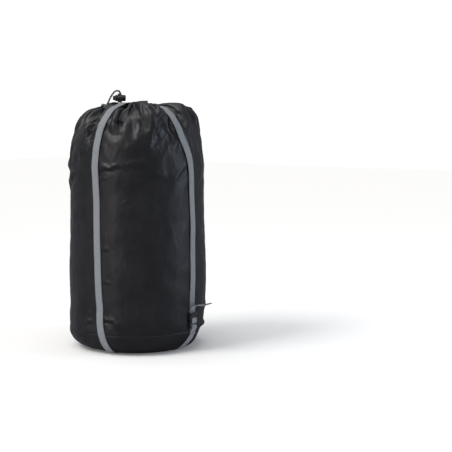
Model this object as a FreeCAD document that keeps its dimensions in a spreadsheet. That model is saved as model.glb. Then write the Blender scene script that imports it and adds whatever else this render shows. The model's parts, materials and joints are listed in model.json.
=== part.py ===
"""Compression sack: a stuffed round fabric sack, gathered at the top by a drawcord and
bound by two webbings that cross over the mouth. Three of the four strap legs end in
ladder locks. Millimetres, +Z up, origin at the centre of the face it stands on."""
import os
from math import acos, cos, pi, radians, sin, tan

import FreeCAD
import Part
import Sketcher
from FreeCAD import Placement, Rotation, Vector

DIMENSIONS = {
    "sack_radius": 139,          # outside of the stuffed wall
    "fabric_thickness": 1.4,
    "corner_radius": 40,         # rounding between the base and the wall
    "base_lift": 1.8,            # base fabric above the ground: a webbing and its gap
    "seam_height": 44,           # seam between the base panel and the wall
    "wall_top": 417,             # where the wall turns into the shoulder
    "shoulder_radius": 86,
    "gather_radius": 21.8,       # edge of the shoulder fabric at the gathered mouth
    "mouth_height": 489.5,
    "fold_gap": 0.3,             # free play between the wall and the crown
    "patch_radius": 38,
    "binding_depth": 4,          # seam allowances folded inside
    "binding_thickness": 1.6,
    "channel_radius": 17,        # drawcord channel round the cinched mouth
    "channel_height": 492,
    "channel_outside": 4.2,
    "channel_inside": 2.6,
    "cord_diameter": 3.6,
    "webbing_width": 16,
    "webbing_thickness": 1.5,
    "webbing_gap": 0.3,          # between the webbing and the fabric
    "leg_start": 84,             # where a side leg leaves its lock
    "crossing_rise": 1.8,        # upper webbing over the lower one
    "tail_reach": 186,           # end of a loose tail, from the sack's axis
    "tail_rise": 17,
    "hem_length": 12,
    "stitch_thickness": 0.4,
    "stitch_square": 12,
    "stitch_length": 3,
    "bar_radius": 2,             # anchor bar of a ladder lock
    "bar_height": 52.5,
    "loop_clearance": 0.1,
    "lock_back": 141.1,          # back of a lock's frame, from the sack's axis
    "lock_thickness": 4,
    "lock_half_width": 11.6,
    "lock_slot_half": 8.6,
    "lock_bottom": 49.5,
    "lock_top": 80,
    "lock_rounding": 0.9,
    "middle_bar_bottom": 61,
    "middle_bar_top": 66.5,
    "middle_bar_back": 141.6,
    "grip_bottom": 71.5,
    "grip_back": 142.8,
    "grip_front": 147.6,
    "barrel_start": 22.5,        # cord lock, along its own radial line
    "barrel_length": 21,
    "barrel_radius": 6.5,
    "barrel_axis_height": 508.5,
    "barrel_wall": 1.3,
    "plunger_radius": 4.6,
    "plunger_start": 30,
    "plunger_length": 18.5,
    "plunger_travel": 3.5,
    "running_gap": 0.1,
    "cord_hole_place": 33,
    "cord_hole_width": 8.6,
    "cord_hole_play": 0.5,       # each side of the cord, along the lock
    "spring_wire": 0.6,
    "spring_radius": 3.2,
    "spring_coils": 3.5,
    "spring_steps": 10,          # bends in each turn
    "eyelet_spacing": 7.2,
    "eyelet_inside": 1.95,
    "eyelet_wall": 0.65,
    "eyelet_flange": 0.8,
    "eyelet_length": 2.6,
}
STRAP_ANGLES = {"right": 0, "back": 90, "left": 180, "front": 270}
LOCKED_STRAPS = ("right", "back", "left")
CORD_LOCK_ANGLE = 225            # the cord lock lies between the left and front straps
WALL_SEAM_ANGLE = 135

# The free loop of drawcord, from one eyelet through the lock, round and back to the other:
# distance along the cord lock's radial line, distance across it, height.
CORD_ROUTE = [
    (20.8, 3.6, 493.8), (25.0, 3.5, 495.8), (29.5, 2.8, 497.2), (32.5, 2.3, 500.2),
    (33.0, 2.1, 505.0), (33.0, 2.3, 512.0), (33.1, 2.1, 519.0), (37.3, 2.2, 524.0),
    (44.3, 2.6, 524.0), (50.8, 2.9, 519.0), (56.2, 2.6, 512.2), (62.5, 2.8, 506.8),
    (70.0, 3.9, 504.4), (78.2, 4.1, 502.2), (85.6, 0.6, 499.5), (88.4, -6.6, 498.1),
    (85.0, -13.8, 499.2), (77.4, -15.4, 501.8), (69.8, -11.9, 504.2), (63.0, -7.4, 506.5),
    (57.0, -4.2, 511.4), (51.4, -2.8, 518.2), (45.0, -2.3, 523.4), (37.8, -2.2, 524.1),
    (33.1, -2.1, 519.1), (33.0, -2.3, 512.2), (33.0, -2.1, 505.2), (32.5, -2.3, 500.3),
    (29.5, -2.8, 497.2), (25.0, -3.5, 495.8), (20.8, -3.6, 493.8),
]
ARC_SHARE = 0.45                 # of the shorter run beside each bend

doc = FreeCAD.newDocument("compression_sack")
sheet = doc.addObject("Spreadsheet::Sheet", "Sizes")
for row, (alias, value) in enumerate(DIMENSIONS.items(), start=1):
    sheet.set(f"A{row}", alias)
    sheet.set(f"B{row}", str(value))
    sheet.setAlias(f"B{row}", alias)
doc.recompute()

subparts = []


def size(expression):
    """The value of an expression written in the sheet's aliases."""
    result = sheet.evalExpression(bound(expression))
    return float(getattr(result, "Value", result))


def bound(expression):
    """The same expression with each alias read from the sheet."""
    words = []
    for word in expression.replace("(", "( ").replace(")", " )").split():
        words.append(f"Sizes.{word}" if word in DIMENSIONS else word)
    return " ".join(words)


def bind(thing, **properties):
    for name, expression in properties.items():
        thing.setExpression(name.replace("__", "."), bound(expression))


def keep(thing, label, placement=None):
    """Name a finished sub-part and put it in its place."""
    thing.Label = label
    if placement is not None:
        thing.Placement = placement
    subparts.append(thing)
    return thing


def turned(angle, centre=Vector()):
    return Placement(centre, Rotation(Vector(0, 0, 1), angle))


def sketch_in(body, name, role="XZ_Plane"):
    sketch = body.newObject("Sketcher::SketchObject", name)
    plane = next(f for f in body.Origin.OriginFeatures if f.Role == role)
    sketch.AttachmentSupport = (plane, [""])
    sketch.MapMode = "FlatFace"
    return sketch


def pin_vertex(sketch, edge, end, across, up):
    """Hold one end of an edge at a place given by two expressions."""
    for kind, axis, expression in (("DistanceX", -2, across), ("DistanceY", -1, up)):
        value = size(expression)
        if value == 0:
            sketch.addConstraint(Sketcher.Constraint("PointOnObject", edge, end, axis))
            continue
        index = sketch.addConstraint(Sketcher.Constraint(kind, -1, 1, edge, end, value))
        sketch.setExpression(f"Constraints[{index}]", bound(expression))


def arc_of(start, middle, end):
    """A sketch arc through three points, stored anticlockwise as sketches keep it."""
    centre = Part.Circle(start, Vector(*middle, 0), end).Center
    circle = Part.Circle(centre, Vector(0, 0, 1), (start - centre).Length)
    first, mid, last = (circle.parameter(p) for p in (start, Vector(*middle, 0), end))
    anticlockwise = (mid - first) % (2 * pi) < (last - first) % (2 * pi)
    if not anticlockwise:
        first, last = last, first
    return Part.ArcOfCircle(circle, first, last), anticlockwise


def draw_outline(sketch, vertices, arcs=None):
    """A closed outline. vertices are pairs of expressions; arcs maps the number of an edge
    that bends to its radius, an expression, and a point that it passes through."""
    arcs = arcs or {}
    points = [Vector(size(x), size(y), 0) for x, y in vertices]
    begin, finish = {}, {}
    for i, start in enumerate(points):
        end = points[(i + 1) % len(points)]
        shape, forward = Part.LineSegment(start, end), True
        if i in arcs:
            shape, forward = arc_of(start, arcs[i][1], end)
        sketch.addGeometry(shape, False)
        begin[i], finish[i] = (1, 2) if forward else (2, 1)
    for i, (across, up) in enumerate(vertices):
        after = (i + 1) % len(points)
        join = Sketcher.Constraint("Coincident", i, finish[i], after, begin[after])
        sketch.addConstraint(join)
        pin_vertex(sketch, i, begin[i], across, up)
    for i, (radius, _) in arcs.items():
        index = sketch.addConstraint(Sketcher.Constraint("Radius", i, size(radius)))
        sketch.setExpression(f"Constraints[{index}]", bound(radius))


def revolved(label, vertices, arcs=None, placement=None):
    body = doc.addObject("PartDesign::Body", label)
    sketch = sketch_in(body, f"{label}_outline")
    draw_outline(sketch, vertices, arcs)
    turn = body.newObject("PartDesign::Revolution", f"{label}_turn")
    turn.Profile = sketch
    turn.ReferenceAxis = (sketch, ["V_Axis"])
    turn.Angle = 360
    return keep(body, label, placement)


def round_from(x, y, radius, angle):
    """A point at an angle on a circle, given by expressions for its centre and radius."""
    reach = size(radius)
    return size(x) + reach * cos(radians(angle)), size(y) + reach * sin(radians(angle))


# --- webbing: a flat strip that follows straight runs joined by tangent arcs ---

def bend(before, corner, after, radius):
    """Where a rounded corner starts and ends, and its centre."""
    back, ahead = (before - corner).normalize(), (after - corner).normalize()
    half = acos(max(-1, min(1, back * ahead))) / 2
    inward = (back + ahead).normalize()
    reach = radius / tan(half)
    return corner + back * reach, corner + ahead * reach, corner + inward * (radius / sin(half))


def strip_side(points, radii, offset):
    """One side of a strip: its path moved sideways, as a list of edges."""
    edges, last = [], points[0]
    across = None
    for before, corner, after, radius in zip(points, points[1:], points[2:], radii):
        enter, leave, centre = bend(before, corner, after, radius)
        along = (corner - before).normalize()
        across = Vector(-along.y, along.x, 0) * offset
        grow = across * (enter - centre).normalize()
        moved = [p + (p - centre).normalize() * grow for p in (enter, leave)]
        middle = centre + (corner - centre).normalize() * (moved[0] - centre).Length
        edges.append((last + across, moved[0]))
        edges.append((moved[0], middle, moved[1]))
        last = leave
    along = (points[-1] - points[-2]).normalize()
    across = Vector(-along.y, along.x, 0) * offset
    edges.append((last + across, points[-1] + across))
    return [e for e in edges if (e[-1] - e[0]).Length > 1e-6]


def strip(label, corners, radii, placement):
    """A webbing in its upright plane: distance from the axis, height."""
    points = [Vector(x, z, 0) for x, z in corners]
    half = size("webbing_thickness") / 2
    left, right = strip_side(points, radii, half), strip_side(points, radii, -half)
    outline = left + [(left[-1][-1], right[-1][-1])]
    outline += [tuple(reversed(e)) for e in reversed(right)] + [(right[0][0], left[0][0])]
    body = doc.addObject("PartDesign::Body", label)
    sketch = sketch_in(body, f"{label}_edge")
    for edge in outline:
        shape = Part.LineSegment(*edge) if len(edge) == 2 else Part.Arc(*edge)
        sketch.addGeometry(shape, False)
    pad = body.newObject("PartDesign::Pad", f"{label}_width")
    pad.Profile = sketch
    pad.SideType = "Symmetric"
    bind(pad, Length="webbing_width")
    return keep(body, label, placement)


# --- fabric ---

def base_panel():
    inner = "corner_radius - fabric_thickness"
    centre = ("sack_radius - corner_radius", "base_lift + corner_radius")
    return revolved("base_panel", [
        ("0", "base_lift"),
        ("sack_radius - corner_radius", "base_lift"),
        ("sack_radius", "base_lift + corner_radius"),
        ("sack_radius", "seam_height"),
        ("sack_radius - fabric_thickness", "seam_height"),
        ("sack_radius - fabric_thickness", "base_lift + corner_radius"),
        ("sack_radius - corner_radius", "base_lift + fabric_thickness"),
        ("0", "base_lift + fabric_thickness"),
    ], {1: ("corner_radius", round_from(*centre, "corner_radius", -45)),
        5: (inner, round_from(*centre, inner, -45))})


def tube(label, radius, wall, low, high):
    """A straight ring or tube round the sack's axis."""
    outer = doc.addObject("Part::Cylinder", f"{label}_outer")
    bind(outer, Radius=radius, Height=f"{high} - ( {low} )", Placement__Base__z=low)
    inner = doc.addObject("Part::Cylinder", f"{label}_inner")
    bind(inner, Radius=f"{radius} - ( {wall} )", Height=f"{high} - ( {low} )",
         Placement__Base__z=low)
    cut = doc.addObject("Part::Cut", label)
    cut.Base, cut.Tool = outer, inner
    return keep(cut, label)


def base_patch():
    patch = doc.addObject("Part::Cylinder", "base_patch")
    bind(patch, Radius="patch_radius", Height="base_lift")
    return keep(patch, "base_patch")


def wall_seam_binding():
    """The folded seam allowance that stands inside the wall, over its whole height."""
    strip_inside = doc.addObject("Part::Box", "wall_seam_binding")
    bind(strip_inside, Length="binding_depth", Width="binding_thickness",
         Height="wall_top - seam_height - 2 * binding_depth")
    reach = size("sack_radius - fabric_thickness - binding_depth - binding_thickness / 8")
    direction = Rotation(Vector(0, 0, 1), WALL_SEAM_ANGLE)
    corner = Vector(reach, -size("binding_thickness") / 2, size("seam_height + binding_depth"))
    return keep(strip_inside, "wall_seam_binding", Placement(direction.multVec(corner), direction))


def crown():
    """The shoulder fabric, from the wall up to its highest ring."""
    inner = "shoulder_radius - fabric_thickness"
    centre = ("sack_radius - shoulder_radius", "wall_top")
    return revolved("crown", [
        ("sack_radius", "wall_top"),
        ("sack_radius - shoulder_radius", "wall_top + shoulder_radius"),
        ("sack_radius - shoulder_radius", "wall_top + shoulder_radius - fabric_thickness"),
        ("sack_radius - fabric_thickness", "wall_top"),
    ], {0: ("shoulder_radius", round_from(*centre, "shoulder_radius", 45)),
        2: (inner, round_from(*centre, inner, 45))},
        Placement(Vector(0, 0, size("fold_gap")), Rotation()))


def gathered_top():
    """The gathered fabric that falls from the highest ring to the mouth."""
    return revolved("gathered_top", [
        ("sack_radius - shoulder_radius", "wall_top + shoulder_radius"),
        ("gather_radius", "mouth_height"),
        ("gather_radius", "mouth_height - fabric_thickness"),
        ("sack_radius - shoulder_radius", "wall_top + shoulder_radius - fabric_thickness"),
    ], placement=Placement(Vector(0, 0, size("fold_gap")), Rotation()))


# --- drawcord, its channel and its lock ---

def cord_frame():
    """The cord lock's radial line, as a placement at the sack's axis."""
    return turned(CORD_LOCK_ANGLE)


def ring(label, radius, thickness, height):
    hoop = doc.addObject("Part::Torus", label)
    bind(hoop, Radius1=radius, Radius2=thickness, Placement__Base__z=height)
    return hoop


def eyelet_place(side):
    """An exit of the drawcord, on the channel's outer side."""
    x, y, z = CORD_ROUTE[0]
    return Vector(x, side * y, z)


def eyelet_direction():
    x, _, z = CORD_ROUTE[0]
    return Vector(x - size("channel_radius"), 0, z - size("channel_height")).normalize()


def drawcord_channel():
    """The hem round the mouth: a hollow ring with two holes for the cord's ends."""
    skin = ring("channel_skin", "channel_radius", "channel_outside", "channel_height")
    tools = [ring("channel_hollow", "channel_radius", "channel_inside", "channel_height")]
    for side in (1, -1):
        hole = doc.addObject("Part::Cylinder", "channel_exit")
        bind(hole, Radius="eyelet_inside + eyelet_wall", Height="2 * channel_outside")
        way = Rotation(Vector(0, 0, 1), eyelet_direction())
        start = eyelet_place(side) - eyelet_direction() * size("channel_outside - eyelet_wall")
        hole.Placement = cord_frame().multiply(Placement(start, way))
        tools.append(hole)
    holes = doc.addObject("Part::MultiFuse", "channel_openings")
    holes.Shapes = tools
    cut = doc.addObject("Part::Cut", "drawcord_channel")
    cut.Base, cut.Tool = skin, holes
    return keep(cut, "drawcord_channel")


def cord_eyelets():
    """Two flanged rings, one solid each, where the cord leaves its channel."""
    rings = []
    for side in (1, -1):
        barrel = doc.addObject("Part::Cylinder", "eyelet_tube")
        bind(barrel, Radius="eyelet_inside + eyelet_wall", Height="eyelet_length")
        flange = doc.addObject("Part::Cylinder", "eyelet_rim")
        bind(flange, Radius="eyelet_spacing / 2 - 0.15", Height="eyelet_flange",
             Placement__Base__z="eyelet_length - eyelet_flange")
        solid = doc.addObject("Part::Fuse", "eyelet_solid")
        solid.Base, solid.Tool = barrel, flange
        bore = doc.addObject("Part::Cylinder", "eyelet_bore")
        bind(bore, Radius="eyelet_inside", Height="eyelet_length")
        cut = doc.addObject("Part::Cut", "eyelet_ring")
        cut.Base, cut.Tool = solid, bore
        way = Rotation(Vector(0, 0, 1), eyelet_direction())
        start = eyelet_place(side) - eyelet_direction() * size("eyelet_length - 2 * eyelet_flange")
        cut.Placement = cord_frame().multiply(Placement(start, way))
        rings.append(cut)
    pair = doc.addObject("Part::Compound", "cord_eyelets")
    pair.Links = rings
    return keep(pair, "cord_eyelets")


def drawcord_in_channel():
    hoop = ring("drawcord_in_channel", "channel_radius", "cord_diameter / 2", "channel_height")
    return keep(hoop, "drawcord_in_channel")


def rounded_path(points):
    """Straight runs joined by the largest tangent arcs that the runs leave room for."""
    edges, radii, last = [], [], points[0]
    for before, corner, after in zip(points, points[1:], points[2:]):
        turn = acos(max(-1, min(1, (corner - before).normalize() * (after - corner).normalize())))
        shorter = min((corner - before).Length, (after - corner).Length)
        radius = ARC_SHARE * shorter / tan(turn / 2)
        enter, leave, centre = bend(before, corner, after, radius)
        middle = centre + (corner - centre).normalize() * radius
        edges += [Part.LineSegment(last, enter), Part.Arc(enter, middle, leave)]
        radii.append(radius)
        last = leave
    edges.append(Part.LineSegment(last, points[-1]))
    return Part.Wire([e.toShape() for e in edges]), radii


def drawcord_loop():
    """The free loop of cord: one round tube along the route."""
    path, radii = rounded_path([Vector(*p) for p in CORD_ROUTE])
    start, ahead = Vector(*CORD_ROUTE[0]), Vector(*CORD_ROUTE[1]) - Vector(*CORD_ROUTE[0])
    section = Part.Wire([Part.Circle(start, ahead, size("cord_diameter / 2")).toShape()])
    loop = doc.addObject("Part::Feature", "drawcord_loop")
    loop.Shape = path.makePipeShell([section], True, False)
    area = pi * size("cord_diameter / 2") ** 2
    print("cord radii", [round(r, 1) for r in radii], "smallest", round(min(radii), 1))
    print("cord length", round(path.Length, 1), "volume over section times length",
          round(loop.Shape.Volume / (area * path.Length), 4))
    return keep(loop, "drawcord_loop", cord_frame())


def lying(thing, start, height="barrel_axis_height"):
    """Lay a round piece along the cord lock's radial line."""
    upright = Rotation(Vector(0, 1, 0), 90)
    thing.Placement = Placement(Vector(size(start), 0, size(height)), upright)
    return thing


def barrel_bar(name, radius, length, start):
    bar = doc.addObject("Part::Cylinder", name)
    bind(bar, Radius=radius, Height=length)
    return lying(bar, start)


def cord_gate(name, start, length):
    """The upright passage that both strands of the cord go through."""
    gate = doc.addObject("Part::Box", name)
    bind(gate, Length=length, Width="cord_hole_width", Height="4 * barrel_radius",
         Placement__Base__x=start, Placement__Base__y="- cord_hole_width / 2",
         Placement__Base__z="barrel_axis_height - 2 * barrel_radius")
    return gate


def cord_lock_barrel():
    shell = barrel_bar("barrel_shell", "barrel_radius", "barrel_length", "barrel_start")
    rounded = doc.addObject("Part::Fillet", "barrel_rounded")
    rounded.Base = shell
    rounded.Edges = [(2, 1.4, 1.4), (3, 0.6, 0.6)]
    bore = barrel_bar("barrel_bore", "plunger_radius + running_gap",
                      "barrel_length", "barrel_start + barrel_wall")
    gate = cord_gate("barrel_gate", "cord_hole_place - cord_diameter / 2 - cord_hole_play",
                     "cord_diameter + 2 * cord_hole_play")
    holes = doc.addObject("Part::Fuse", "barrel_openings")
    holes.Base, holes.Tool = bore, gate
    cut = doc.addObject("Part::Cut", "cord_lock_barrel")
    cut.Base, cut.Tool = rounded, holes
    return keep(cut, "cord_lock_barrel", cord_frame())


def cord_lock_plunger():
    """The push button: its gate pinches the cord until the button is pressed."""
    bar = barrel_bar("plunger_bar", "plunger_radius", "plunger_length", "plunger_start")
    rounded = doc.addObject("Part::Fillet", "plunger_rounded")
    rounded.Base = bar
    rounded.Edges = [(3, 0.8, 0.8)]
    gate = cord_gate("plunger_gate", "cord_hole_place - cord_diameter / 2 - running_gap",
                     "cord_diameter + plunger_travel + cord_hole_play")
    cut = doc.addObject("Part::Cut", "cord_lock_plunger")
    cut.Base, cut.Tool = rounded, gate
    return keep(cut, "cord_lock_plunger", cord_frame())


def cord_lock_spring():
    """The spring between the barrel's closed end and the plunger: a helix whose turns are
    short runs joined by tangent arcs."""
    length = size("plunger_start - barrel_start - barrel_wall - spring_wire - 4 * running_gap")
    radius, wire, steps = size("spring_radius"), size("spring_wire"), size("spring_steps")
    turns = [k / steps for k in range(round(size("spring_coils") * steps) + 1)]
    points = [Vector(radius * cos(2 * pi * turn), radius * sin(2 * pi * turn),
                     length * turn / turns[-1]) for turn in turns]
    path, _ = rounded_path(points)
    section = Part.Wire([Part.Circle(points[0], points[1] - points[0], wire / 2).toShape()])
    spring = doc.addObject("Part::Feature", "cord_lock_spring")
    spring.Shape = path.makePipeShell([section], True, False)
    start = size("barrel_start + barrel_wall + spring_wire / 2 + 2 * running_gap")
    way = Placement(Vector(start, 0, size("barrel_axis_height")), Rotation(Vector(0, 1, 0), 90))
    return keep(spring, "cord_lock_spring", cord_frame().multiply(way))


# --- webbing straps ---

def strap_line():
    """Middle of a webbing that lies on the wall, from the axis."""
    return size("sack_radius + webbing_gap + webbing_thickness / 2")


def crossing_strap(label, rise, placement):
    """The part of a webbing that goes over the top, from shoulder to shoulder."""
    out, low = strap_line(), size("wall_top + fold_gap")
    top = low + size("shoulder_radius + webbing_gap + webbing_thickness / 2")
    flat = size("sack_radius - shoulder_radius")
    round_radius = out - flat
    corners = [(out, low), (out, top)]
    radii = [round_radius]
    if rise:
        half = size("webbing_width")
        corners += [(2 * half, top), (half * 0.8, top + rise)]
        corners += [(-half * 0.8, top + rise), (-2 * half, top)]
        radii += [2 * half] * 4
    corners += [(-out, top), (-out, low)]
    radii += [round_radius]
    strip(label, corners, radii, placement)


def side_leg(name, angle):
    """The straight run of webbing on the wall, above its lock."""
    leg = doc.addObject("Part::Box", f"{name}_strap_leg")
    bind(leg, Length="webbing_thickness", Width="webbing_width",
         Height="wall_top - leg_start")
    corner = Vector(size("sack_radius + webbing_gap"), -size("webbing_width") / 2,
                    size("leg_start"))
    way = Rotation(Vector(0, 0, 1), angle)
    keep(leg, f"{name}_strap_leg", Placement(way.multVec(corner), way))


def lower_strap(name, angle):
    """From its sewn end under the base, round the corner and up to the anchor bar."""
    out, low = strap_line(), size("webbing_thickness / 2")
    sewn, corner = size("patch_radius + running_gap"), out - size("sack_radius - corner_radius")
    corners, radii = [(sewn, low), (out, low)], [corner]
    if name in LOCKED_STRAPS:
        loop = size("bar_radius + loop_clearance + webbing_thickness / 2")
        top = size("bar_height") + loop
        ply = out + size("webbing_thickness + running_gap")
        corners += [(out, top), (out + 2 * loop, top), (out + 2 * loop, top - 2.6 * loop)]
        corners += [(ply, top - 4.6 * loop), (ply, top - 7 * loop)]
        radii += [loop, loop, 2 * loop, 2 * loop]
    else:
        corners.append((out, size("leg_start")))
    strip(f"{name}_lower_strap", corners, radii, turned(angle))


def strap_tail(name, angle):
    """The webbing inside a lock, round its middle bar, and its loose hemmed tail."""
    out, thick = strap_line(), size("webbing_thickness")
    gap = size("webbing_gap")
    low = size("middle_bar_bottom") - 1.6 * thick
    high = size("middle_bar_top") + 1.6 * thick
    front = size("lock_back + lock_thickness") + 0.8 * thick
    ply, leave = size("grip_back") - gap - thick / 2, size("leg_start")
    reach, end = size("tail_reach"), leave + size("tail_rise")
    hem = end + thick + 2 * size("running_gap")
    corners = [(out, leave - gap), (out, low), (front, low), (front, high), (ply, high)]
    corners += [(ply, leave + 2 * thick), (reach, end), (reach, hem)]
    back = reach - size("hem_length")
    corners.append((back, hem - 0.3 * size("hem_length")))
    radii = [1.25 * thick, thick, thick, 0.9 * thick, 3 * thick, 0.52 * thick, 0.52 * thick]
    strip(f"{name}_strap_tail", corners, radii, turned(angle))


def block(name, low, high):
    """A box between two corners given by expressions, with every edge rounded."""
    box = doc.addObject("Part::Box", name)
    for side, base, start, end in zip(("Length", "Width", "Height"), "xyz", low, high):
        bind(box, **{side: f"{end} - ( {start} )", f"Placement__Base__{base}": start})
    rounded = doc.addObject("Part::Fillet", f"{name}_rounded")
    rounded.Base = box
    edge = size("lock_rounding")
    rounded.Edges = [(i, edge, edge) for i in range(1, 13)]
    return rounded


def ladder_lock(name, angle):
    """A moulded frame with an anchor bar, a middle bar and a raised grip bar."""
    front = "lock_back + lock_thickness"
    pieces = []
    for low, high in (("lock_slot_half", "lock_half_width"),
                      ("- lock_half_width", "- lock_slot_half")):
        pieces.append(block(f"{name}_rail", ("lock_back", low, "lock_bottom"),
                            (front, high, "lock_top")))
    wide = ("- lock_half_width + lock_rounding", "lock_half_width - lock_rounding")
    pieces.append(block(f"{name}_middle_bar", ("middle_bar_back", wide[0], "middle_bar_bottom"),
                        (front, wide[1], "middle_bar_top")))
    pieces.append(block(f"{name}_grip_bar", ("grip_back", "- lock_half_width", "grip_bottom"),
                        ("grip_front", "lock_half_width", "lock_top")))
    anchor = doc.addObject("Part::Cylinder", f"{name}_anchor_bar")
    bind(anchor, Radius="bar_radius", Height="2 * ( lock_half_width - lock_rounding )")
    bar_from_axis = strap_line() + size("bar_radius + loop_clearance + webbing_thickness / 2")
    anchor.Placement = Placement(
        Vector(bar_from_axis, size("lock_half_width - lock_rounding"), size("bar_height")),
        Rotation(Vector(1, 0, 0), 90))
    pieces.append(anchor)
    frame = doc.addObject("Part::MultiFuse", f"{name}_ladder_lock")
    frame.Shapes = pieces
    keep(frame, f"{name}_ladder_lock", turned(angle))


def stitch(name, width, length):
    thread = doc.addObject("Part::Box", name)
    bind(thread, Length="stitch_thickness", Width=width, Height=length)
    return thread


def loop_bar_tacks():
    """The dense stitching that closes each anchor loop, one solid for each lock."""
    loop = size("bar_radius + loop_clearance + webbing_thickness / 2")
    face = strap_line() + size("webbing_thickness + running_gap + webbing_thickness / 2")
    height = size("bar_height") + loop - 7 * loop + size("running_gap")
    tacks = []
    for name in LOCKED_STRAPS:
        tack = stitch("bar_tack", "stitch_square", "stitch_length")
        way = Rotation(Vector(0, 0, 1), STRAP_ANGLES[name])
        corner = Vector(face, -size("stitch_square") / 2, height)
        tack.Placement = Placement(way.multVec(corner), way)
        tacks.append(tack)
    group = doc.addObject("Part::Compound", "loop_bar_tacks")
    group.Links = tacks
    keep(group, "loop_bar_tacks")


def crossing_stitching():
    """The square of stitching that joins the two webbings where they cross."""
    top = size("wall_top + fold_gap + shoulder_radius + webbing_gap + webbing_thickness")
    top += size("crossing_rise")
    plates = []
    for name, side in (("thread_outer", "stitch_square"), ("thread_inner", "stitch_square - 2")):
        plate = doc.addObject("Part::Box", name)
        bind(plate, Length=side, Width=side, Height="stitch_thickness",
             Placement__Base__x=f"- ( {side} ) / 2", Placement__Base__y=f"- ( {side} ) / 2")
        plate.Placement.Base.z = top
        plates.append(plate)
    square = doc.addObject("Part::Cut", "crossing_stitching")
    square.Base, square.Tool = plates
    keep(square, "crossing_stitching")


def build():
    base_panel()
    base_patch()
    tube("base_seam_binding", "sack_radius - fabric_thickness", "binding_depth",
         "seam_height - binding_thickness / 2", "seam_height + binding_thickness / 2")
    tube("sack_wall", "sack_radius", "fabric_thickness", "seam_height", "wall_top")
    wall_seam_binding()
    crown()
    gathered_top()
    drawcord_channel()
    cord_eyelets()
    drawcord_in_channel()
    drawcord_loop()
    cord_lock_barrel()
    cord_lock_plunger()
    cord_lock_spring()
    crossing_strap("front_back_strap", 0, turned(STRAP_ANGLES["back"]))
    crossing_strap("left_right_strap", size("crossing_rise"), turned(0))
    crossing_stitching()
    for name, angle in STRAP_ANGLES.items():
        side_leg(name, angle)
        lower_strap(name, angle)
    for name in LOCKED_STRAPS:
        ladder_lock(name, STRAP_ANGLES[name])
        strap_tail(name, STRAP_ANGLES[name])
    loop_bar_tacks()


def check_and_write():
    doc.recompute()
    failed = [o.Name for o in doc.Objects if {"Invalid", "Error"} & set(o.State)]
    assert not failed, f"failed objects: {failed}"
    os.makedirs("parts", exist_ok=True)
    for thing in subparts:
        shape = thing.Shape
        assert not shape.isNull() and shape.isValid() and shape.Solids, thing.Label
        shape.exportStep(f"parts/{thing.Label}.step")
        box = shape.BoundBox
        print(f"{thing.Label:22s} {len(shape.Solids)} solid(s) {shape.Volume:10.1f} mm3  "
              f"z {box.ZMin:7.2f} to {box.ZMax:7.2f}")


build()
check_and_write()
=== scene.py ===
"""Looks of the compression sack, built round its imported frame. Metres, +Z up."""
import json
from math import cos, degrees, hypot, pi, radians, sin, tan

import bmesh
import bpy
import numpy as np
from mathutils import Matrix, Vector, noise
from mathutils.bvhtree import BVHTree


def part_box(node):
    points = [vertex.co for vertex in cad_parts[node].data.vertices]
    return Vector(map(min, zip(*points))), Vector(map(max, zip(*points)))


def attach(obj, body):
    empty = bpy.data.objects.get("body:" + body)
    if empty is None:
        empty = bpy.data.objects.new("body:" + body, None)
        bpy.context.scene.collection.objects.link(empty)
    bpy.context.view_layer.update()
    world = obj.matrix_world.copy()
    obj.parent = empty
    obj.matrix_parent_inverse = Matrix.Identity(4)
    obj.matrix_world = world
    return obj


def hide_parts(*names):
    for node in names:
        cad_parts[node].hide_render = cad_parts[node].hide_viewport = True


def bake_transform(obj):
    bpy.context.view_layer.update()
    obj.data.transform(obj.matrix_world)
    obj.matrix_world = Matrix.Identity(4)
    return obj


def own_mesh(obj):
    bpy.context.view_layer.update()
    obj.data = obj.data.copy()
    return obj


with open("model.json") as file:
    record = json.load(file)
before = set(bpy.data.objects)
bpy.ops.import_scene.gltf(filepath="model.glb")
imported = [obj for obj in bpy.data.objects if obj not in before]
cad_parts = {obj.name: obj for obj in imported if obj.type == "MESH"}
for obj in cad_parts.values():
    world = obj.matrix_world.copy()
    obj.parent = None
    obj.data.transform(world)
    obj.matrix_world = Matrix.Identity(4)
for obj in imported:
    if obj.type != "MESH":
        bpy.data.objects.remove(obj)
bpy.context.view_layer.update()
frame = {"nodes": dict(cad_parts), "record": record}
SEED = 7

# --- places read from the frame ---
wall_low, wall_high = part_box("sack_wall")
RADIUS = wall_high.x
SEAM = wall_low.z
BASE_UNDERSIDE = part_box("base_panel")[0].z
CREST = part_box("gathered_top")[1].z
CHANNEL_LOW, CHANNEL_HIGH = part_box("drawcord_channel")
MOUTH_RADIUS = CHANNEL_HIGH.x
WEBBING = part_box("front_strap_leg")
WEBBING_WIDTH = WEBBING[1].x - WEBBING[0].x
WEBBING_THICKNESS = WEBBING[1].y - WEBBING[0].y
LEG_START = WEBBING[0].z
STRAP_LINE = -(WEBBING[0].y + WEBBING[1].y) / 2      # middle of a webbing on the wall
PATCH_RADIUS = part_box("base_patch")[1].x
STRAP_ANGLES = {"right": 0, "back": 90, "left": 180, "front": 270}
LOCKED_STRAPS = ("right", "back", "left")
CORD_LOCK_ANGLE = 225
CORNER_RADIUS = 0.040            # of the foot, between the wall and the underside
DRAWN_THICKNESS = WEBBING_THICKNESS * 0.86       # so that two plies never share a face

# --- camera: stands to the right of the sack's middle and looks past it ---
CAMERA_AZIMUTH, CAMERA_ELEVATION, CAMERA_DISTANCE = 40, 6.2, 2.35
PICTURE_WIDTH = 0.938            # what the picture spans at the sack's distance
LOOK_PAST = 0.183                # how far right of the sack's axis the camera looks
LOOK_HEIGHT = 0.244


def add(name, data):
    """An object in the scene."""
    made = bpy.data.objects.new(name, data)
    bpy.context.collection.objects.link(made)
    return made


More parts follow.
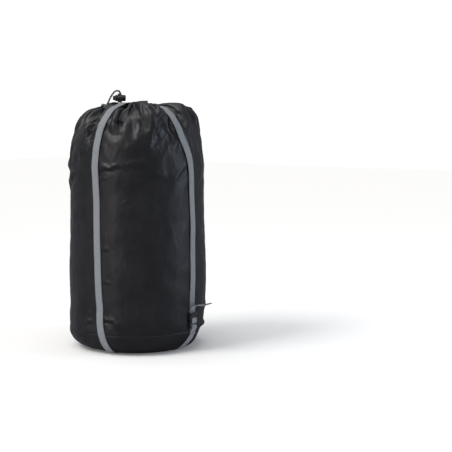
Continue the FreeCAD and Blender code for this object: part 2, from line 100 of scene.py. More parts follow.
def drop(made):
    """Take an object and its mesh away again."""
    mesh = made.data
    bpy.data.objects.remove(made)
    bpy.data.meshes.remove(mesh)


def aim(made, place, target):
    """Stand an object at a place, facing a target."""
    made.location = place
    made.rotation_euler = (Vector(target) - Vector(place)).to_track_quat("-Z", "Y").to_euler()


def camera():
    azimuth, elevation = radians(CAMERA_AZIMUTH), radians(CAMERA_ELEVATION)
    level = CAMERA_DISTANCE * cos(elevation)
    target = Vector((0, 0, LOOK_HEIGHT))
    place = target + Vector((sin(azimuth) * level, -cos(azimuth) * level,
                             CAMERA_DISTANCE * sin(elevation)))
    right = Vector((cos(azimuth), sin(azimuth), 0))
    data = bpy.data.cameras.new("camera")
    data.sensor_width = 36
    data.lens = data.sensor_width * CAMERA_DISTANCE / PICTURE_WIDTH
    cam = add("camera", data)
    aim(cam, place, target + right * LOOK_PAST)
    bpy.context.scene.camera = cam


camera()

# --- materials ---
WHITE = (1, 1, 1, 1)
THREAD_PITCH = 0.0009            # of the fabric's weave
CORD_LAY = 0.0072                # length of one turn of the cord's braid


class Nodes:
    """A few short ways to wire a material's nodes."""

    def __init__(self, name, colour, roughness, specular=0.5, sheen=0.0):
        self.material = bpy.data.materials.new(name)
        self.material.use_nodes = True
        self.tree = self.material.node_tree
        self.shader = self.tree.nodes["Principled BSDF"]
        for socket, value in (("Base Color", (*colour, 1)), ("Roughness", roughness),
                              ("Specular IOR Level", specular), ("Sheen Weight", sheen)):
            self.shader.inputs[socket].default_value = value

    def node(self, kind, **settings):
        made = self.tree.nodes.new(kind)
        for name, value in settings.items():
            setattr(made, name, value)
        return made

    def link(self, out, into):
        self.tree.links.new(out, into)

    def put(self, into, value):
        if isinstance(value, (int, float)):
            into.default_value = value
        else:
            self.link(value, into)

    def math(self, operation, first, second=0.0, third=0.0):
        made = self.node("ShaderNodeMath", operation=operation)
        for into, value in zip(made.inputs, (first, second, third)):
            self.put(into, value)
        return made.outputs[0]

    def uv(self):
        split = self.node("ShaderNodeSeparateXYZ")
        self.link(self.node("ShaderNodeTexCoord").outputs["UV"], split.inputs[0])
        return split.outputs[0], split.outputs[1]

    def wave(self, coordinate, pitch, offset=0.0):
        """A smooth wave from 0 to 1 along a coordinate."""
        turned = self.math("MULTIPLY_ADD", coordinate, 2 * pi / pitch, offset)
        return self.math("MULTIPLY_ADD", self.math("SINE", turned), 0.5, 0.5)

    def noise(self, scale, detail=3.0, stretch=None):
        texture = self.node("ShaderNodeTexNoise")
        texture.inputs["Scale"].default_value = scale
        texture.inputs["Detail"].default_value = detail
        place = self.node("ShaderNodeTexCoord").outputs["Object"]
        if stretch:
            mapping = self.node("ShaderNodeMapping")
            mapping.inputs["Scale"].default_value = stretch
            self.link(place, mapping.inputs["Vector"])
            place = mapping.outputs[0]
        self.link(place, texture.inputs["Vector"])
        return texture.outputs["Fac"]

    def ramp(self, value, low, high, start=0.0, end=1.0):
        made = self.node("ShaderNodeMapRange")
        self.put(made.inputs["Value"], value)
        made.inputs["From Min"].default_value, made.inputs["From Max"].default_value = start, end
        made.inputs["To Min"].default_value, made.inputs["To Max"].default_value = low, high
        return made.outputs["Result"]

    def mix(self, factor, dark, light):
        made = self.node("ShaderNodeMix", data_type="RGBA")
        self.put(made.inputs["Factor"], factor)
        for into, colour in ((made.inputs["A"], dark), (made.inputs["B"], light)):
            if isinstance(colour, tuple):
                into.default_value = (*colour, 1)
            else:
                self.link(colour, into)
        return made.outputs["Result"]

    def finish(self, colour, height, distance, strength, rough=None):
        """Wire up the colour, a bump and where it varies the roughness."""
        self.link(colour, self.shader.inputs["Base Color"])
        if rough is not None:
            self.link(rough, self.shader.inputs["Roughness"])
        made = self.node("ShaderNodeBump")
        made.inputs["Strength"].default_value = strength
        made.inputs["Distance"].default_value = distance
        self.link(height, made.inputs["Height"])
        self.link(made.outputs[0], self.shader.inputs["Normal"])
        return self.material


def fabric_material(name="nylon_taffeta", dark=(0.0075, 0.0079, 0.0105),
                    light=(0.0120, 0.0124, 0.0155)):
    """Tight plain-weave nylon: fine threads both ways, a soft sheen, faint cloudy wear."""
    n = Nodes(name, dark, 0.36, 0.42, 0.05)
    n.shader.inputs["Sheen Roughness"].default_value = 0.38
    n.shader.inputs["Sheen Tint"].default_value = (0.75, 0.8, 1.0, 1)
    uv = n.uv()
    under, over = (n.math("MULTIPLY", *(n.wave(way, THREAD_PITCH, start) for way in uv))
                   for start in (0, pi))
    weave = n.math("ADD", under, over)
    cloud = n.noise(26, 4)
    tone = n.math("MULTIPLY_ADD", weave, 0.35, n.ramp(cloud, -0.2, 0.7, 0.3, 0.7))
    rumple = n.noise(75, 3, (1, 1, 0.6))
    return n.finish(n.mix(tone, dark, light), n.math("MULTIPLY_ADD", weave, 0.06, rumple),
                    0.0012, 0.5, n.ramp(cloud, 0.34, 0.48, 0.3, 0.7))


def webbing_material():
    """Flat nylon webbing: fine ribs across, lengthwise ends, and painted shade darkening both
    edges.
    """
    dark, light = (0.13, 0.142, 0.162), (0.27, 0.284, 0.306)
    n = Nodes("webbing", dark, 0.55, 0.35, 0.15)
    across, down = n.uv()
    slant = n.math("ABSOLUTE", n.math("SUBTRACT", n.math("FRACT", n.math(
        "DIVIDE", across, 0.004)), 0.5))
    ribs = n.wave(n.math("MULTIPLY_ADD", slant, 0.0012, down), 0.0011)
    ends = n.wave(across, 0.00125)
    weave = n.math("MULTIPLY_ADD", ribs, 0.7, n.math("MULTIPLY", ends, 0.3))
    # painted shade: the colour darkens over the outer part of each edge, standing in for the shade
    # where the webbing's edges roll over
    edge = n.ramp(n.math("ABSOLUTE", n.math("SUBTRACT", across, WEBBING_WIDTH / 2)),
                  0.0, 0.35, WEBBING_WIDTH / 2 - 0.0018, WEBBING_WIDTH / 2 - 0.0006)
    worn = n.math("MULTIPLY_ADD", n.noise(160, 4), 0.5, 0.15)
    tone = n.math("SUBTRACT", n.math("MULTIPLY_ADD", weave, 0.45, worn), edge)
    return n.finish(n.mix(tone, dark, light), weave, 0.00035, 0.6)


def cord_material():
    """Braided cord: dark strands crossing lighter ones, so that flecks show."""
    n = Nodes("braided_cord", (0.02, 0.02, 0.02), 0.6, 0.35, 0.2)
    around, down = n.uv()
    turns, lay = n.math("MULTIPLY", around, 3), n.math("DIVIDE", down, CORD_LAY)
    left, right = (n.math("GREATER_THAN", n.math("FRACT", n.math(way, turns, lay)), share)
                   for way, share in (("ADD", 0.62), ("SUBTRACT", 0.5)))
    fleck = n.math("MULTIPLY", left, right)
    return n.finish(n.mix(fleck, (0.012, 0.012, 0.013), (0.62, 0.62, 0.6)),
                    n.noise(900, 2), 0.0002, 0.5)


def thread_material(name, colour, dark, light):
    n = Nodes(name, colour, 0.5, 0.4, 0.3)
    grain = n.noise(900, 2, (1, 1, 3))
    return n.finish(n.mix(grain, dark, light), grain, 0.0001, 0.6)


def plastic_material(name, dark, light, roughness):
    """Moulded acetal: fine grain, and a little polish where it has been handled."""
    n = Nodes(name, dark, roughness)
    grain, worn = n.noise(2200, 2), n.noise(120, 3)
    return n.finish(n.mix(n.ramp(worn, 0, 1, 0.35, 0.75), dark, light), grain, 0.00006, 0.5,
                    n.ramp(worn, roughness - 0.08, roughness + 0.1, 0.3, 0.7))


def metal_material(name, colour, roughness):
    n = Nodes(name, colour, roughness)
    n.shader.inputs["Metallic"].default_value = 1
    scratch = n.noise(700, 3, (1, 1, 6))
    return n.finish(n.mix(scratch, tuple(0.75 * c for c in colour), colour), scratch, 0.00004,
                    0.4, n.ramp(scratch, roughness - 0.07, roughness + 0.12, 0.3, 0.7))


MATERIALS = {
    "sack_fabric": fabric_material(),
    "patch_fabric": fabric_material("coated_patch", (0.014, 0.014, 0.0155), (0.024, 0.024, 0.026)),
    "binding_tape": fabric_material("binding_tape", (0.02, 0.02, 0.021), (0.03, 0.03, 0.032)),
    "webbing": webbing_material(),
    "drawcord": cord_material(),
    "thread": thread_material("sewing_thread", (0.2, 0.21, 0.225), (0.13, 0.138, 0.15),
                              (0.3, 0.31, 0.33)),
    "dark_thread": thread_material("dark_thread", (0.02, 0.02, 0.022), (0.012, 0.012, 0.014),
                                   (0.04, 0.04, 0.044)),
    "lock_plastic": plastic_material("lock_plastic", (0.012, 0.012, 0.013),
                                     (0.03, 0.03, 0.032), 0.34),
    "button_plastic": plastic_material("button_plastic", (0.03, 0.03, 0.032),
                                       (0.06, 0.06, 0.063), 0.3),
    "spring_steel": metal_material("spring_steel", (0.55, 0.55, 0.56), 0.32),
    "eyelet_metal": metal_material("eyelet_metal", (0.12, 0.115, 0.11), 0.36),
}
for node_name, node in frame["nodes"].items():
    slot_name = next(s["material_slot"] for s in frame["record"]["subparts"]
                     if s["node"] == node_name)
    node.data.materials.clear()
    node.data.materials.append(MATERIALS[slot_name])

# --- mesh helpers ---

def piece(name, verts, faces, slot, uv=None, look=None):
    """A mesh object with its material; uv holds one pair for each face corner."""
    mesh = bpy.data.meshes.new(name)
    mesh.from_pydata([tuple(v) for v in verts], [], faces)
    if uv is not None:
        layer = mesh.uv_layers.new(name="UVMap")
        layer.data.foreach_set("uv", np.asarray(uv, np.float32).reshape(-1))
    mesh.polygons.foreach_set("use_smooth", [True] * len(mesh.polygons))
    mesh.materials.append(MATERIALS[look or slot])
    mesh.update()
    return add(name, mesh)


def grid_faces(rows, cols):
    """Quads of a grid whose columns join up."""
    return [(i * cols + j, i * cols + (j + 1) % cols, (i + 1) * cols + (j + 1) % cols,
             (i + 1) * cols + j) for i in range(rows - 1) for j in range(cols)]


def grid_uv(rows, cols, u, v):
    """UVs for grid_faces. u has one more value than there are columns."""
    return [(u[b], v[a]) for i in range(rows - 1) for j in range(cols)
            for a, b in ((i, j), (i, j + 1), (i + 1, j + 1), (i + 1, j))]


def caps(rows, cols):
    """The two end faces of such a grid."""
    return [tuple(reversed(range(cols))), tuple(range((rows - 1) * cols, rows * cols))]


def capped(name, verts, cols, slot, u, v):
    """A piece from rings of points, closed at both ends, with UVs."""
    rows = len(verts) // cols
    uv = grid_uv(rows, cols, u, v)
    uv += [(u[k], v[0]) for k in reversed(range(cols))] + [(u[k], v[-1]) for k in range(cols)]
    return piece(name, verts, grid_faces(rows, cols) + caps(rows, cols), slot, uv)


def joined(parts):
    """Vertices and faces of several parts as one list of each."""
    verts, faces = [], []
    for more, more_faces in parts:
        first = len(verts)
        verts += more
        faces += [tuple(first + i for i in f) for f in more_faces]
    return verts, faces


def apply_modifiers(obj):
    """The object's mesh becomes what its modifiers make of it."""
    graph = bpy.context.evaluated_depsgraph_get()
    mesh = bpy.data.meshes.new_from_object(obj.evaluated_get(graph))
    obj.modifiers.clear()
    old, obj.data = obj.data, mesh
    bpy.data.meshes.remove(old)
    return obj


def turned(points, angle):
    """Points given as (outwards, across, up) turned to a strap's place round the axis."""
    points, angle = np.asarray(points, float), np.radians(angle)
    c, s = np.cos(angle), np.sin(angle)
    x, y = points[..., 0], points[..., 1]
    return np.stack([c * x - s * y, s * x + c * y, points[..., 2]], axis=-1)


def on_strap(points, name):
    """The same for a strap by its name."""
    return turned(points, STRAP_ANGLES[name])


def smoothstep(t):
    t = np.clip(t, 0, 1)
    return t * t * (3 - 2 * t)


def bell(offset, width):
    """1 in the middle, falling smoothly away; width is where it has fallen to a third."""
    return np.exp(-(offset / width) ** 2)


def degrees_from(angle, middle):
    """Degrees from one direction round the axis to another, from -180 to 180."""
    return (angle - middle + 180) % 360 - 180


def wrapped(turn):
    """The same turn in radians, from -pi to pi."""
    return (turn + pi) % (2 * pi) - pi


def reach_of(points):
    """How far each point is from the axis."""
    return np.hypot(points[..., 0], points[..., 1])


def round_turns(sides):
    """Even angles once round."""
    return [2 * pi * k / sides for k in range(sides)]


def polar(radius, angle, height):
    return radius * cos(angle), radius * sin(angle), height


def run_length(points):
    """How far along a line each of its points is."""
    return np.r_[0, np.cumsum(np.linalg.norm(np.diff(points, axis=0), axis=1))]


def directions(points):
    """The unit direction of a line at each of its points."""
    way = np.gradient(points, axis=0)
    return way / np.linalg.norm(way, axis=1)[:, None]


def along(points, spacing):
    """Even points on a line, and how far along it each one is."""
    points = np.asarray(points, float)
    length = run_length(points)
    even = np.linspace(0, length[-1], max(2, int(round(length[-1] / spacing)) + 1))
    return np.stack([np.interp(even, length, column) for column in points.T], axis=1), even


def softened(values, reach):
    """A moving average that keeps the ends."""
    extended = np.pad(values, (reach, reach), mode="edge")
    weights = np.hanning(2 * reach + 3)[1:-1]
    return np.convolve(extended, weights / weights.sum(), mode="valid")


def cubic(p0, p1, p2, p3, t):
    """The smooth step from p1 to p2 at a share t."""
    return 0.5 * (2 * p1 + (p2 - p0) * t + (2 * p0 - 5 * p1 + 4 * p2 - p3) * t ** 2
                  + (3 * p1 - p0 - 3 * p2 + p3) * t ** 3)


def spline_through(points, steps):
    """A smooth line through a few points."""
    points = np.asarray(points, float)
    ends = np.concatenate([points[:1], points, points[-1:]])
    out = [cubic(*ends[i:i + 4], t) for i in range(len(points) - 1)
           for t in np.arange(steps) / steps]
    return np.array(out + [points[-1]])


def rounded(corners, radii, step=0.0004):
    """Points along straight runs whose corners are rounded by tangent arcs."""
    corners = [Vector(c) for c in corners]
    out = [corners[0]]
    for before, corner, after, radius in zip(corners, corners[1:], corners[2:], radii):
        back, ahead = (before - corner).normalized(), (after - corner).normalized()
        half = back.angle(ahead) / 2
        centre = corner + (back + ahead).normalized() * radius / sin(half)
        start = corner + back * radius / tan(half) - centre
        end = corner + ahead * radius / tan(half) - centre
        count = max(3, int(start.angle(end) * radius / step))
        out += [centre + start.slerp(end, k / count).normalized() * radius
                for k in range(count + 1)]
    return out + [corners[-1]]


# --- the stuffed fabric ---

# From the base seam to the gathered mouth: swell beyond the wall's radius, and height.
WALL_OUTLINE = [(0.0003, -0.0015), (0.0005, 0.012), (0.0008, 0.045), (0.0012, 0.090),
                (-0.0008, 0.170), (-0.0024, 0.262), (-0.0024, 0.322), (-0.0022, 0.360),
                (-0.0052, 0.388), (-0.0118, 0.411), (-0.0228, 0.4275), (-0.0370, 0.4390),
                (-0.0540, 0.4460), (-0.0730, 0.4490), (-0.0910, 0.4480), (-0.1060, 0.4460)]
FABRIC_STEP = 0.005
FOLD_START = 0.365               # below this height the tube is full width and smooth
FOLD_WAVES = [(7, 0.35, 0.02), (11, 0.6, 0.05), (17, 0.8, 0.12), (22, 0.5, 0.4)]
SIM_FRAMES = 40
FARTHEST_MOVE = 0.010
SOFT_CAP = 0.0015                # how gently the folds flatten against their highest level
DROOP_ANGLE, DROOP_DOWN, DROOP_IN = 220, 0.013, 0.006
SETTLED = 0.0045                 # how much lower than the pattern the whole top lies
TOP_START, TOP_BAND = 0.38, 0.09         # height at which the top begins, and grows in over
DEEPEST_FOLD = 0.0125
PUFF, PUFF_SINK = 0.016, 0.007   # rise between the straps, from below the pattern at them
COVERING_FOLD = 0.0130           # height of the puff that hangs over the right strap
PILLOW, PILLOW_PLACE = 0.0065, 0.040     # under the cord lock: its height, and its radius
CORNER_IN = (38, 0.0110, 30)     # where the foot is drawn in, how far, and its spread
CORNER_OUT = (222, 0.0050, 45)   # the same where it is slumped out
CRINKLE = 0.0021
SLIM_ANGLE, SLIM, SLIM_SPREAD = 40, 0.045, 38    # where the shoulder is narrower, by what share
REFINE = 2                       # finer rows and columns after the cloth has settled
SHEET = 0.0006                   # thickness of the fabric
CAP_REACH = [0.03, 0.055, 0.09]  # radii at which the folds' highest level is given
SETTLED_CAP, FINAL_CAP = [0.4955, 0.5035, 0.5045], [0.4935, 0.4985, 0.5000]
CORNER_TOP = 0.052               # the foot is drawn in most at half this height
STRAP_CLEAR = 0.016              # slack starts this far from a strap's middle
# Where the final level may be higher: angle, spread, how much, and from which radius.
CAP_RISES = [(330, 26, 0.0045, 0.035), (CORD_LOCK_ANGLE, 24, 0.006, 0.022)]


def meridian():
    """Radius, height, outward normal and length along the fabric, from seam to mouth."""
    points = [(RADIUS + swell, SEAM + rise) for swell, rise in WALL_OUTLINE]
    points.append((MOUTH_RADIUS, CHANNEL_LOW.z + 0.002))
    line, even = along(spline_through(points, 40), FABRIC_STEP)
    tangent = directions(line)
    return line, np.stack([tangent[:, 1], -tangent[:, 0]], axis=1), even


LINE, NORMAL, LENGTH = meridian()
ROWS, COLS = len(LINE), int(round(2 * pi * RADIUS / FABRIC_STEP))
THETA = np.arange(COLS) / COLS * 2 * pi
GATHER = np.clip(1 - LINE[:, 0] / RADIUS, 0, 1)


def ring_points(radius, height):
    return np.stack([radius * np.cos(THETA), radius * np.sin(THETA),
                     np.broadcast_to(height, radius.shape)], axis=-1)


def strap_lean(name, height):
    """How far a strap leans sideways from its own angle, in degrees, at a height."""
    leans = {
        "front": [(0.0, 12), (0.013, 11.4), (0.045, 8.2), (0.065, 6.4), (0.088, 7.0),
                  (0.110, 6.0), (0.150, 5.0), (0.200, 4.3), (0.262, 3.5), (0.378, 2.7),
                  (0.436, 4.6), (0.467, 8.5), (0.487, 12), (0.4935, 17), (0.497, 19)],
        "right": [(0.0, 0), (0.112, 0), (0.143, 1.0), (0.200, 1.4), (0.259, 1.9), (0.317, 0.8),
                  (0.375, 0.2), (0.405, -4.0), (0.436, -9.5), (0.460, -11), (0.488, -11),
                  (0.50, -11)],
        "back": [(0.0, 0), (0.12, 0), (0.30, 2), (0.45, -3), (0.50, 0)],
        "left": [(0.0, 0), (0.12, 0), (0.30, -2), (0.45, 3), (0.50, 2)],
    }[name]
    heights, angles = zip(*leans)
    return np.interp(height, heights, angles)


def beside_strap(name):
    """How far round from the middle of a strap each point of the fabric is."""
    middle = np.radians(STRAP_ANGLES[name] + strap_lean(name, LINE[:, 1]))[:, None]
    return wrapped(THETA[None, :] - middle) * LINE[:, :1]


def strap_distance(*names):
    """How far each point of the fabric is from the middle of the nearest strap."""
    return np.min([np.abs(beside_strap(name)) for name in names or STRAP_ANGLES], axis=0)


def smooth_noise(scale, seed):
    offset = Vector((seed * 3.7, seed * 1.3, 0))
    return np.array([[noise.noise(Vector((cos(t), sin(t), z / RADIUS)) * scale + offset)
                      for t in THETA] for z in LINE[:, 1]])


def starting_folds():
    """Gentle uneven gathers, deep where the tube is squeezed most, for the cloth to settle."""
    rng = np.random.default_rng(SEED)
    wave = np.zeros((ROWS, COLS))
    for count, share, start in FOLD_WAVES:
        phase, drift = rng.uniform(0, 2 * pi), rng.uniform(-1.5, 1.5)
        uneven = sum(rng.uniform(0.3, 0.9) / k * np.cos(k * THETA + rng.uniform(0, 2 * pi))
                     for k in (1, 2, 3, 5))
        grown = np.clip((GATHER - start) / 0.15, 0, 1)[:, None]
        wave += share * grown * np.cos(count * THETA + phase + 0.9 * uneven
                                       + drift * GATHER[:, None])
    pitch = 2 * pi * LINE[:, 0] / np.interp(GATHER, [0, 0.3, 0.6, 0.9], [9, 12, 17, 22])
    excess = np.sqrt(np.maximum(RADIUS / LINE[:, 0], 1) - 1)
    folds = np.minimum(0.72 * excess * pitch / pi, DEEPEST_FOLD)[:, None] * wave
    puff = PUFF * smoothstep(strap_distance(*LOCKED_STRAPS) / 0.045) - PUFF_SINK
    puff += 0.006 * (smoothstep(strap_distance("front") / 0.030) - 1)
    return folds + puff * smoothstep((GATHER - 0.02) / 0.16)[:, None]


def top_share():
    """Nothing on the wall, growing to 1 on the top."""
    return smoothstep((LINE[:, 1] - TOP_START) / TOP_BAND)


def lock_droop():
    """The gathered end sits lower on the side of the cord lock."""
    turn = np.radians(degrees_from(np.degrees(THETA), DROOP_ANGLE))
    return np.outer(top_share(), bell(turn, 0.85))


def covering_fold():
    """The puff that hangs over the top end of the right strap, on its front side."""
    beside = -beside_strap("right")
    edge = smoothstep((beside - 0.0085) / 0.011) * smoothstep((0.085 - beside) / 0.060)
    grown = smoothstep((GATHER - 0.03) / 0.14) * smoothstep((LINE[:, 0] - 0.030) / 0.030)
    return COVERING_FOLD * edge * (grown * (LINE[:, 1] > 0.4))[:, None]


def lock_pillow(reach):
    """Fabric pushed up under the cord lock."""
    turn = degrees_from(np.degrees(THETA), CORD_LOCK_ANGLE)
    return PILLOW * bell(turn, 26) * bell(reach - PILLOW_PLACE, 0.016)


def corner_in(angle):
    """How far the sack's foot is drawn in, by degrees round the axis. Less than nothing is
    slumped out."""
    drawn, slumped = (amount * bell(degrees_from(np.asarray(angle), middle), spread)
                      for middle, amount, spread in (CORNER_IN, CORNER_OUT))
    return drawn - slumped


def wall_relief():
    """Slight flats, slack and creases on the full part of the sack."""
    flats = 0.0011 * np.cos(2 * THETA + 0.4) + 0.0009 * np.cos(5 * THETA - 1.0)
    relief = np.tile(flats, (ROWS, 1)) + 0.0016 * smooth_noise(2.1, 1)
    relief += 0.0007 * smooth_noise(5.5, 2)
    wander = [0.010 * smooth_noise(9, 11), 0.008 * smooth_noise(7, 12)]
    for start, end, height, width in CREASES:
        relief += crease(start, end, height, width, wander)
    near = strap_distance()
    relief += 0.0022 * smoothstep(near / 0.05) - 0.0012
    relief *= smoothstep((LINE[:, 1] - SEAM) / 0.025)[:, None]
    at_seam = np.sin(pi * np.minimum(LINE[:, 1], SEAM) / CORNER_TOP) \
        * (1 - smoothstep((LINE[:, 1] - SEAM) / 0.05))
    slack = np.clip((near - STRAP_CLEAR) / 0.02, 0, 1)
    return relief - slack * corner_in(np.degrees(THETA))[None, :] * at_seam[:, None]


# Short creases: where each starts and ends as (degrees round the axis, height), its height
# and its width.
CREASES = [
    ((-86, 0.372), (-64, 0.379), 0.0048, 0.0050), ((-62, 0.377), (-40, 0.386), 0.0034, 0.0055),
    ((-84, 0.352), (-74, 0.355), 0.0014, 0.0040), ((-40, 0.368), (-26, 0.356), 0.0020, 0.0055),
    ((-101, 0.064), (-92, 0.067), 0.0034, 0.0036), ((-82, 0.078), (-72, 0.072), 0.0032, 0.0032),
    ((-81, 0.062), (-76, 0.057), 0.0034, 0.0032), ((-80, 0.052), (-67, 0.050), 0.0032, 0.0032),
    ((-72, 0.072), (-66, 0.056), 0.0028, 0.0032), ((-99, 0.076), (-93, 0.082), 0.0024, 0.0030),
    ((-83, 0.210), (-75, 0.215), 0.0013, 0.0040), ((-62, 0.303), (-55, 0.307), 0.0012, 0.0032),
    ((-80, 0.150), (-73, 0.146), 0.0012, 0.0040), ((-138, 0.332), (-118, 0.362), 0.0042, 0.0070),
    ((-126, 0.264), (-112, 0.274), 0.0013, 0.005), ((-130, 0.302), (-114, 0.314), 0.0015, 0.0050),
    ((-138, 0.180), (-122, 0.174), 0.0011, 0.005), ((20, 0.076), (34, 0.088), 0.0024, 0.0042),
    ((58, 0.360), (84, 0.378), 0.0034, 0.0065), ((110, 0.366), (150, 0.378), 0.0034, 0.0065),
    ((120, 0.072), (140, 0.080), 0.0024, 0.0042), ((200, 0.368), (240, 0.380), 0.0030, 0.0065),
    ((-20, 0.340), (-8, 0.372), 0.0022, 0.0065), ((8, 0.330), (20, 0.362), 0.0024, 0.0065),
    ((70, 0.180), (96, 0.172), 0.0012, 0.0050),
]


def crease(start, end, height, width, wander):
    """A short ridge with a soft hollow under it."""
    a = np.array([radians(start[0]) * RADIUS, start[1]])
    b = np.array([radians(end[0]) * RADIUS, end[1]])
    around = 2 * pi * RADIUS
    x = (THETA * RADIUS - a[0] + around / 2) % around - around / 2
    across = np.stack([x[None, :] + wander[0], (LINE[:, 1] - a[1])[:, None] + wander[1]],
                      axis=-1)
    way = b - a
    share = np.clip(across @ way / (way @ way), 0, 1)
    offset = across - share[..., None] * way
    far = np.linalg.norm(offset, axis=-1)
    taper = np.sin(pi * np.clip(share, 0.04, 0.96)) ** 0.6
    below = np.where(offset[..., 1] < 0, bell(far - 1.6 * width, width), 0)
    return height * taper * (bell(far, width) - 0.5 * below)


# Deep radiating pleats: degrees round the axis at the mouth and at the lower end, the lower
# end's height, depth and width. A negative depth is a ridge.
PLEATS = [
    (-69, -63, 0.435, 0.0085, 0.0050), (-86, -103, 0.415, 0.0090, 0.0062),
    (-60, -42, 0.448, 0.0042, 0.0030), (-50, -40, 0.478, 0.0065, 0.0065),
    (-55, -24, 0.430, -0.0050, 0.0065), (22, 13, 0.440, 0.0080, 0.0060),
    (-20, -14, 0.420, 0.0045, 0.0050), (-120, -112, 0.440, 0.0055, 0.0050),
]
SCATTERED_PLEATS = 20


def all_pleats():
    """The pleats above, and uneven ones wherever there is room."""
    rng = np.random.default_rng(SEED + 2)
    found = list(PLEATS)
    for k in range(SCATTERED_PLEATS):
        top = k * 360 / SCATTERED_PLEATS + rng.uniform(-6, 6)
        drift, low = rng.uniform(-11, 11), rng.uniform(0.385, 0.470)
        depth, width = rng.uniform(0.0030, 0.0068), rng.uniform(0.0030, 0.0052)
        if all(abs(degrees_from(top, other[0])) > 8 for other in PLEATS):
            found.append((top, top + drift, low, depth, width))
    return found


def pleat_relief(theta, radius, height, length):
    """Pressed-in pleats with raised lips, narrowing towards the mouth."""
    relief = np.zeros((len(radius), len(theta)))
    for top, foot, low, depth, width in all_pleats():
        first = np.interp(low, height[:np.argmax(height)], length[:np.argmax(height)])
        share = np.clip((length - first) / (length[-1] - first), 0, 1)
        middle = np.radians(foot + (top - foot) * share ** 0.7)
        turn = wrapped(theta[None, :] - middle[:, None])
        thin = (width * np.clip(radius / 0.11, 0.35, 1))[:, None]
        across = turn * radius[:, None] / thin
        deep = depth * smoothstep(share / 0.35) * (1 - 0.45 * smoothstep((share - 0.6) / 0.4))
        lips = 0.42 * bell(np.abs(across) - 2.3, 1.1)
        relief += deep[:, None] * (lips - (1 + across ** 2) ** -1.4)
    return relief


def wrinkle(spot, octaves):
    """Ridged noise at a place."""
    return noise.ridged_multi_fractal(Vector(spot), 0.9, 2.1, octaves, 0.95, 1.6)


def crinkle(theta, radius, height):
    """Small crisp wrinkles of stiff cloth, mostly in the gathered part."""
    much = np.interp(height, [0.05, 0.10, 0.33, 0.42], [0.35, 0.16, 0.25, 1.0])
    much = much * np.clip(radius / 0.11, 0.3, 1)
    made = np.zeros((len(radius), len(theta)))
    for i, (z, amount) in enumerate(zip(height, much)):
        for j, (x, y) in enumerate(zip(np.cos(theta), np.sin(theta))):
            fine = wrinkle((x * 5.2, y * 5.2, z * 17), 3) - 1.1
            broad = wrinkle((x * 2.3 + 5, y * 2.3, z * 7), 2)
            made[i, j] = amount * fine + 0.9 * max(0, amount - 0.25) * broad
    return CRINKLE * made


def refined(shape, times):
    """The same surface on a finer grid, smooth both ways."""
    def between(values):
        """Cubic steps along the first axis, open at its ends."""
        ends = np.concatenate([values[:1], values, values[-1:]])
        corners = [ends[k:len(values) - 1 + k] for k in range(4)]
        mixed = np.stack([cubic(*corners, t) for t in np.arange(times) / times], axis=1)
        return np.concatenate([mixed.reshape(-1, *values.shape[1:]), values[-1:]])
    taller = between(shape)
    around = np.concatenate([taller[:, -2:], taller, taller[:, :3]], axis=1).swapaxes(0, 1)
    finer = between(around).swapaxes(0, 1)
    return finer[:, 2 * times:2 * times + taller.shape[1] * times]


def outward(shape):
    """Unit normals of a closed-round grid of points."""
    around = np.roll(shape, -1, axis=1) - np.roll(shape, 1, axis=1)
    up = np.gradient(shape, axis=0)
    normal = np.cross(around, up)
    return normal / np.maximum(np.linalg.norm(normal, axis=-1, keepdims=True), 1e-9)


def settle_cloth(start):
    """Cloth simulation: the full-width tube, held at its base, its mouth and under its
    straps, is blown out against its gathers round a stuffed core."""
    flat_radius = np.where(LINE[:, 1] < FOLD_START, LINE[:, 0], RADIUS * 0.985)
    rest = ring_points(np.repeat(flat_radius[:, None], COLS, 1), LENGTH[:, None])
    cloth = piece("cloth", start.reshape(-1, 3), grid_faces(ROWS, COLS), "sack_fabric")
    cloth.shape_key_add(name="Basis")
    key = cloth.shape_key_add(name="cut")
    key.data.foreach_set("co", rest.reshape(-1))
    key.value = 0
    held = cloth.vertex_groups.new(name="held")
    near = strap_distance()
    for i in range(ROWS):
        for j in range(COLS):
            if i < 3 or i >= ROWS - 2:
                held.add([i * COLS + j], 1, "REPLACE")
            elif near[i, j] < 0.008 and LINE[i, 0] > 0.03:
                held.add([i * COLS + j], 0.35, "REPLACE")
    core_line = LINE[::2] - NORMAL[::2] * 0.012
    sides = 96
    core = piece("core", [polar(max(r, 0.002), a, z) for r, z in core_line
                          for a in np.arange(sides) / sides * 2 * pi],
                 grid_faces(len(core_line), sides), "sack_fabric")
    core.modifiers.new("collision", "COLLISION")
    core.collision.thickness_outer = 0.002
    core.collision.cloth_friction = 5
    sim = cloth.modifiers.new("cloth", "CLOTH")
    s, hit = sim.settings, sim.collision_settings
    s.quality, s.mass, s.air_damping = 6, 0.1, 2
    s.tension_stiffness = s.compression_stiffness = 15
    s.shear_stiffness, s.bending_stiffness = 7.5, 0.03
    s.tension_damping = s.compression_damping = s.shear_damping = 5
    s.bending_damping = 0.5
    s.use_pressure, s.uniform_pressure_force = True, 4
    s.vertex_group_mass, s.pin_stiffness = "held", 5
    s.rest_shape_key = key
    s.effector_weights.gravity = 0
    hit.distance_min, hit.collision_quality = 0.002, 2
    hit.use_self_collision, hit.self_distance_min = True, 0.0015
    sim.point_cache.frame_start, sim.point_cache.frame_end = 1, SIM_FRAMES
    for f in range(1, SIM_FRAMES + 1):
        bpy.context.scene.frame_set(f)
    graph = bpy.context.evaluated_depsgraph_get()
    settled = cloth.evaluated_get(graph).to_mesh()
    co = np.zeros(ROWS * COLS * 3)
    settled.vertices.foreach_get("co", co)
    for old in (cloth, core):
        drop(old)
    bpy.context.scene.frame_set(1)
    return co.reshape(ROWS, COLS, 3)


def pressed_down(height, cap):
    """Heights that flatten softly against a highest level."""
    over = (height - cap) / SOFT_CAP
    return np.where(over > -20, cap - SOFT_CAP * np.logaddexp(0, -over), height)


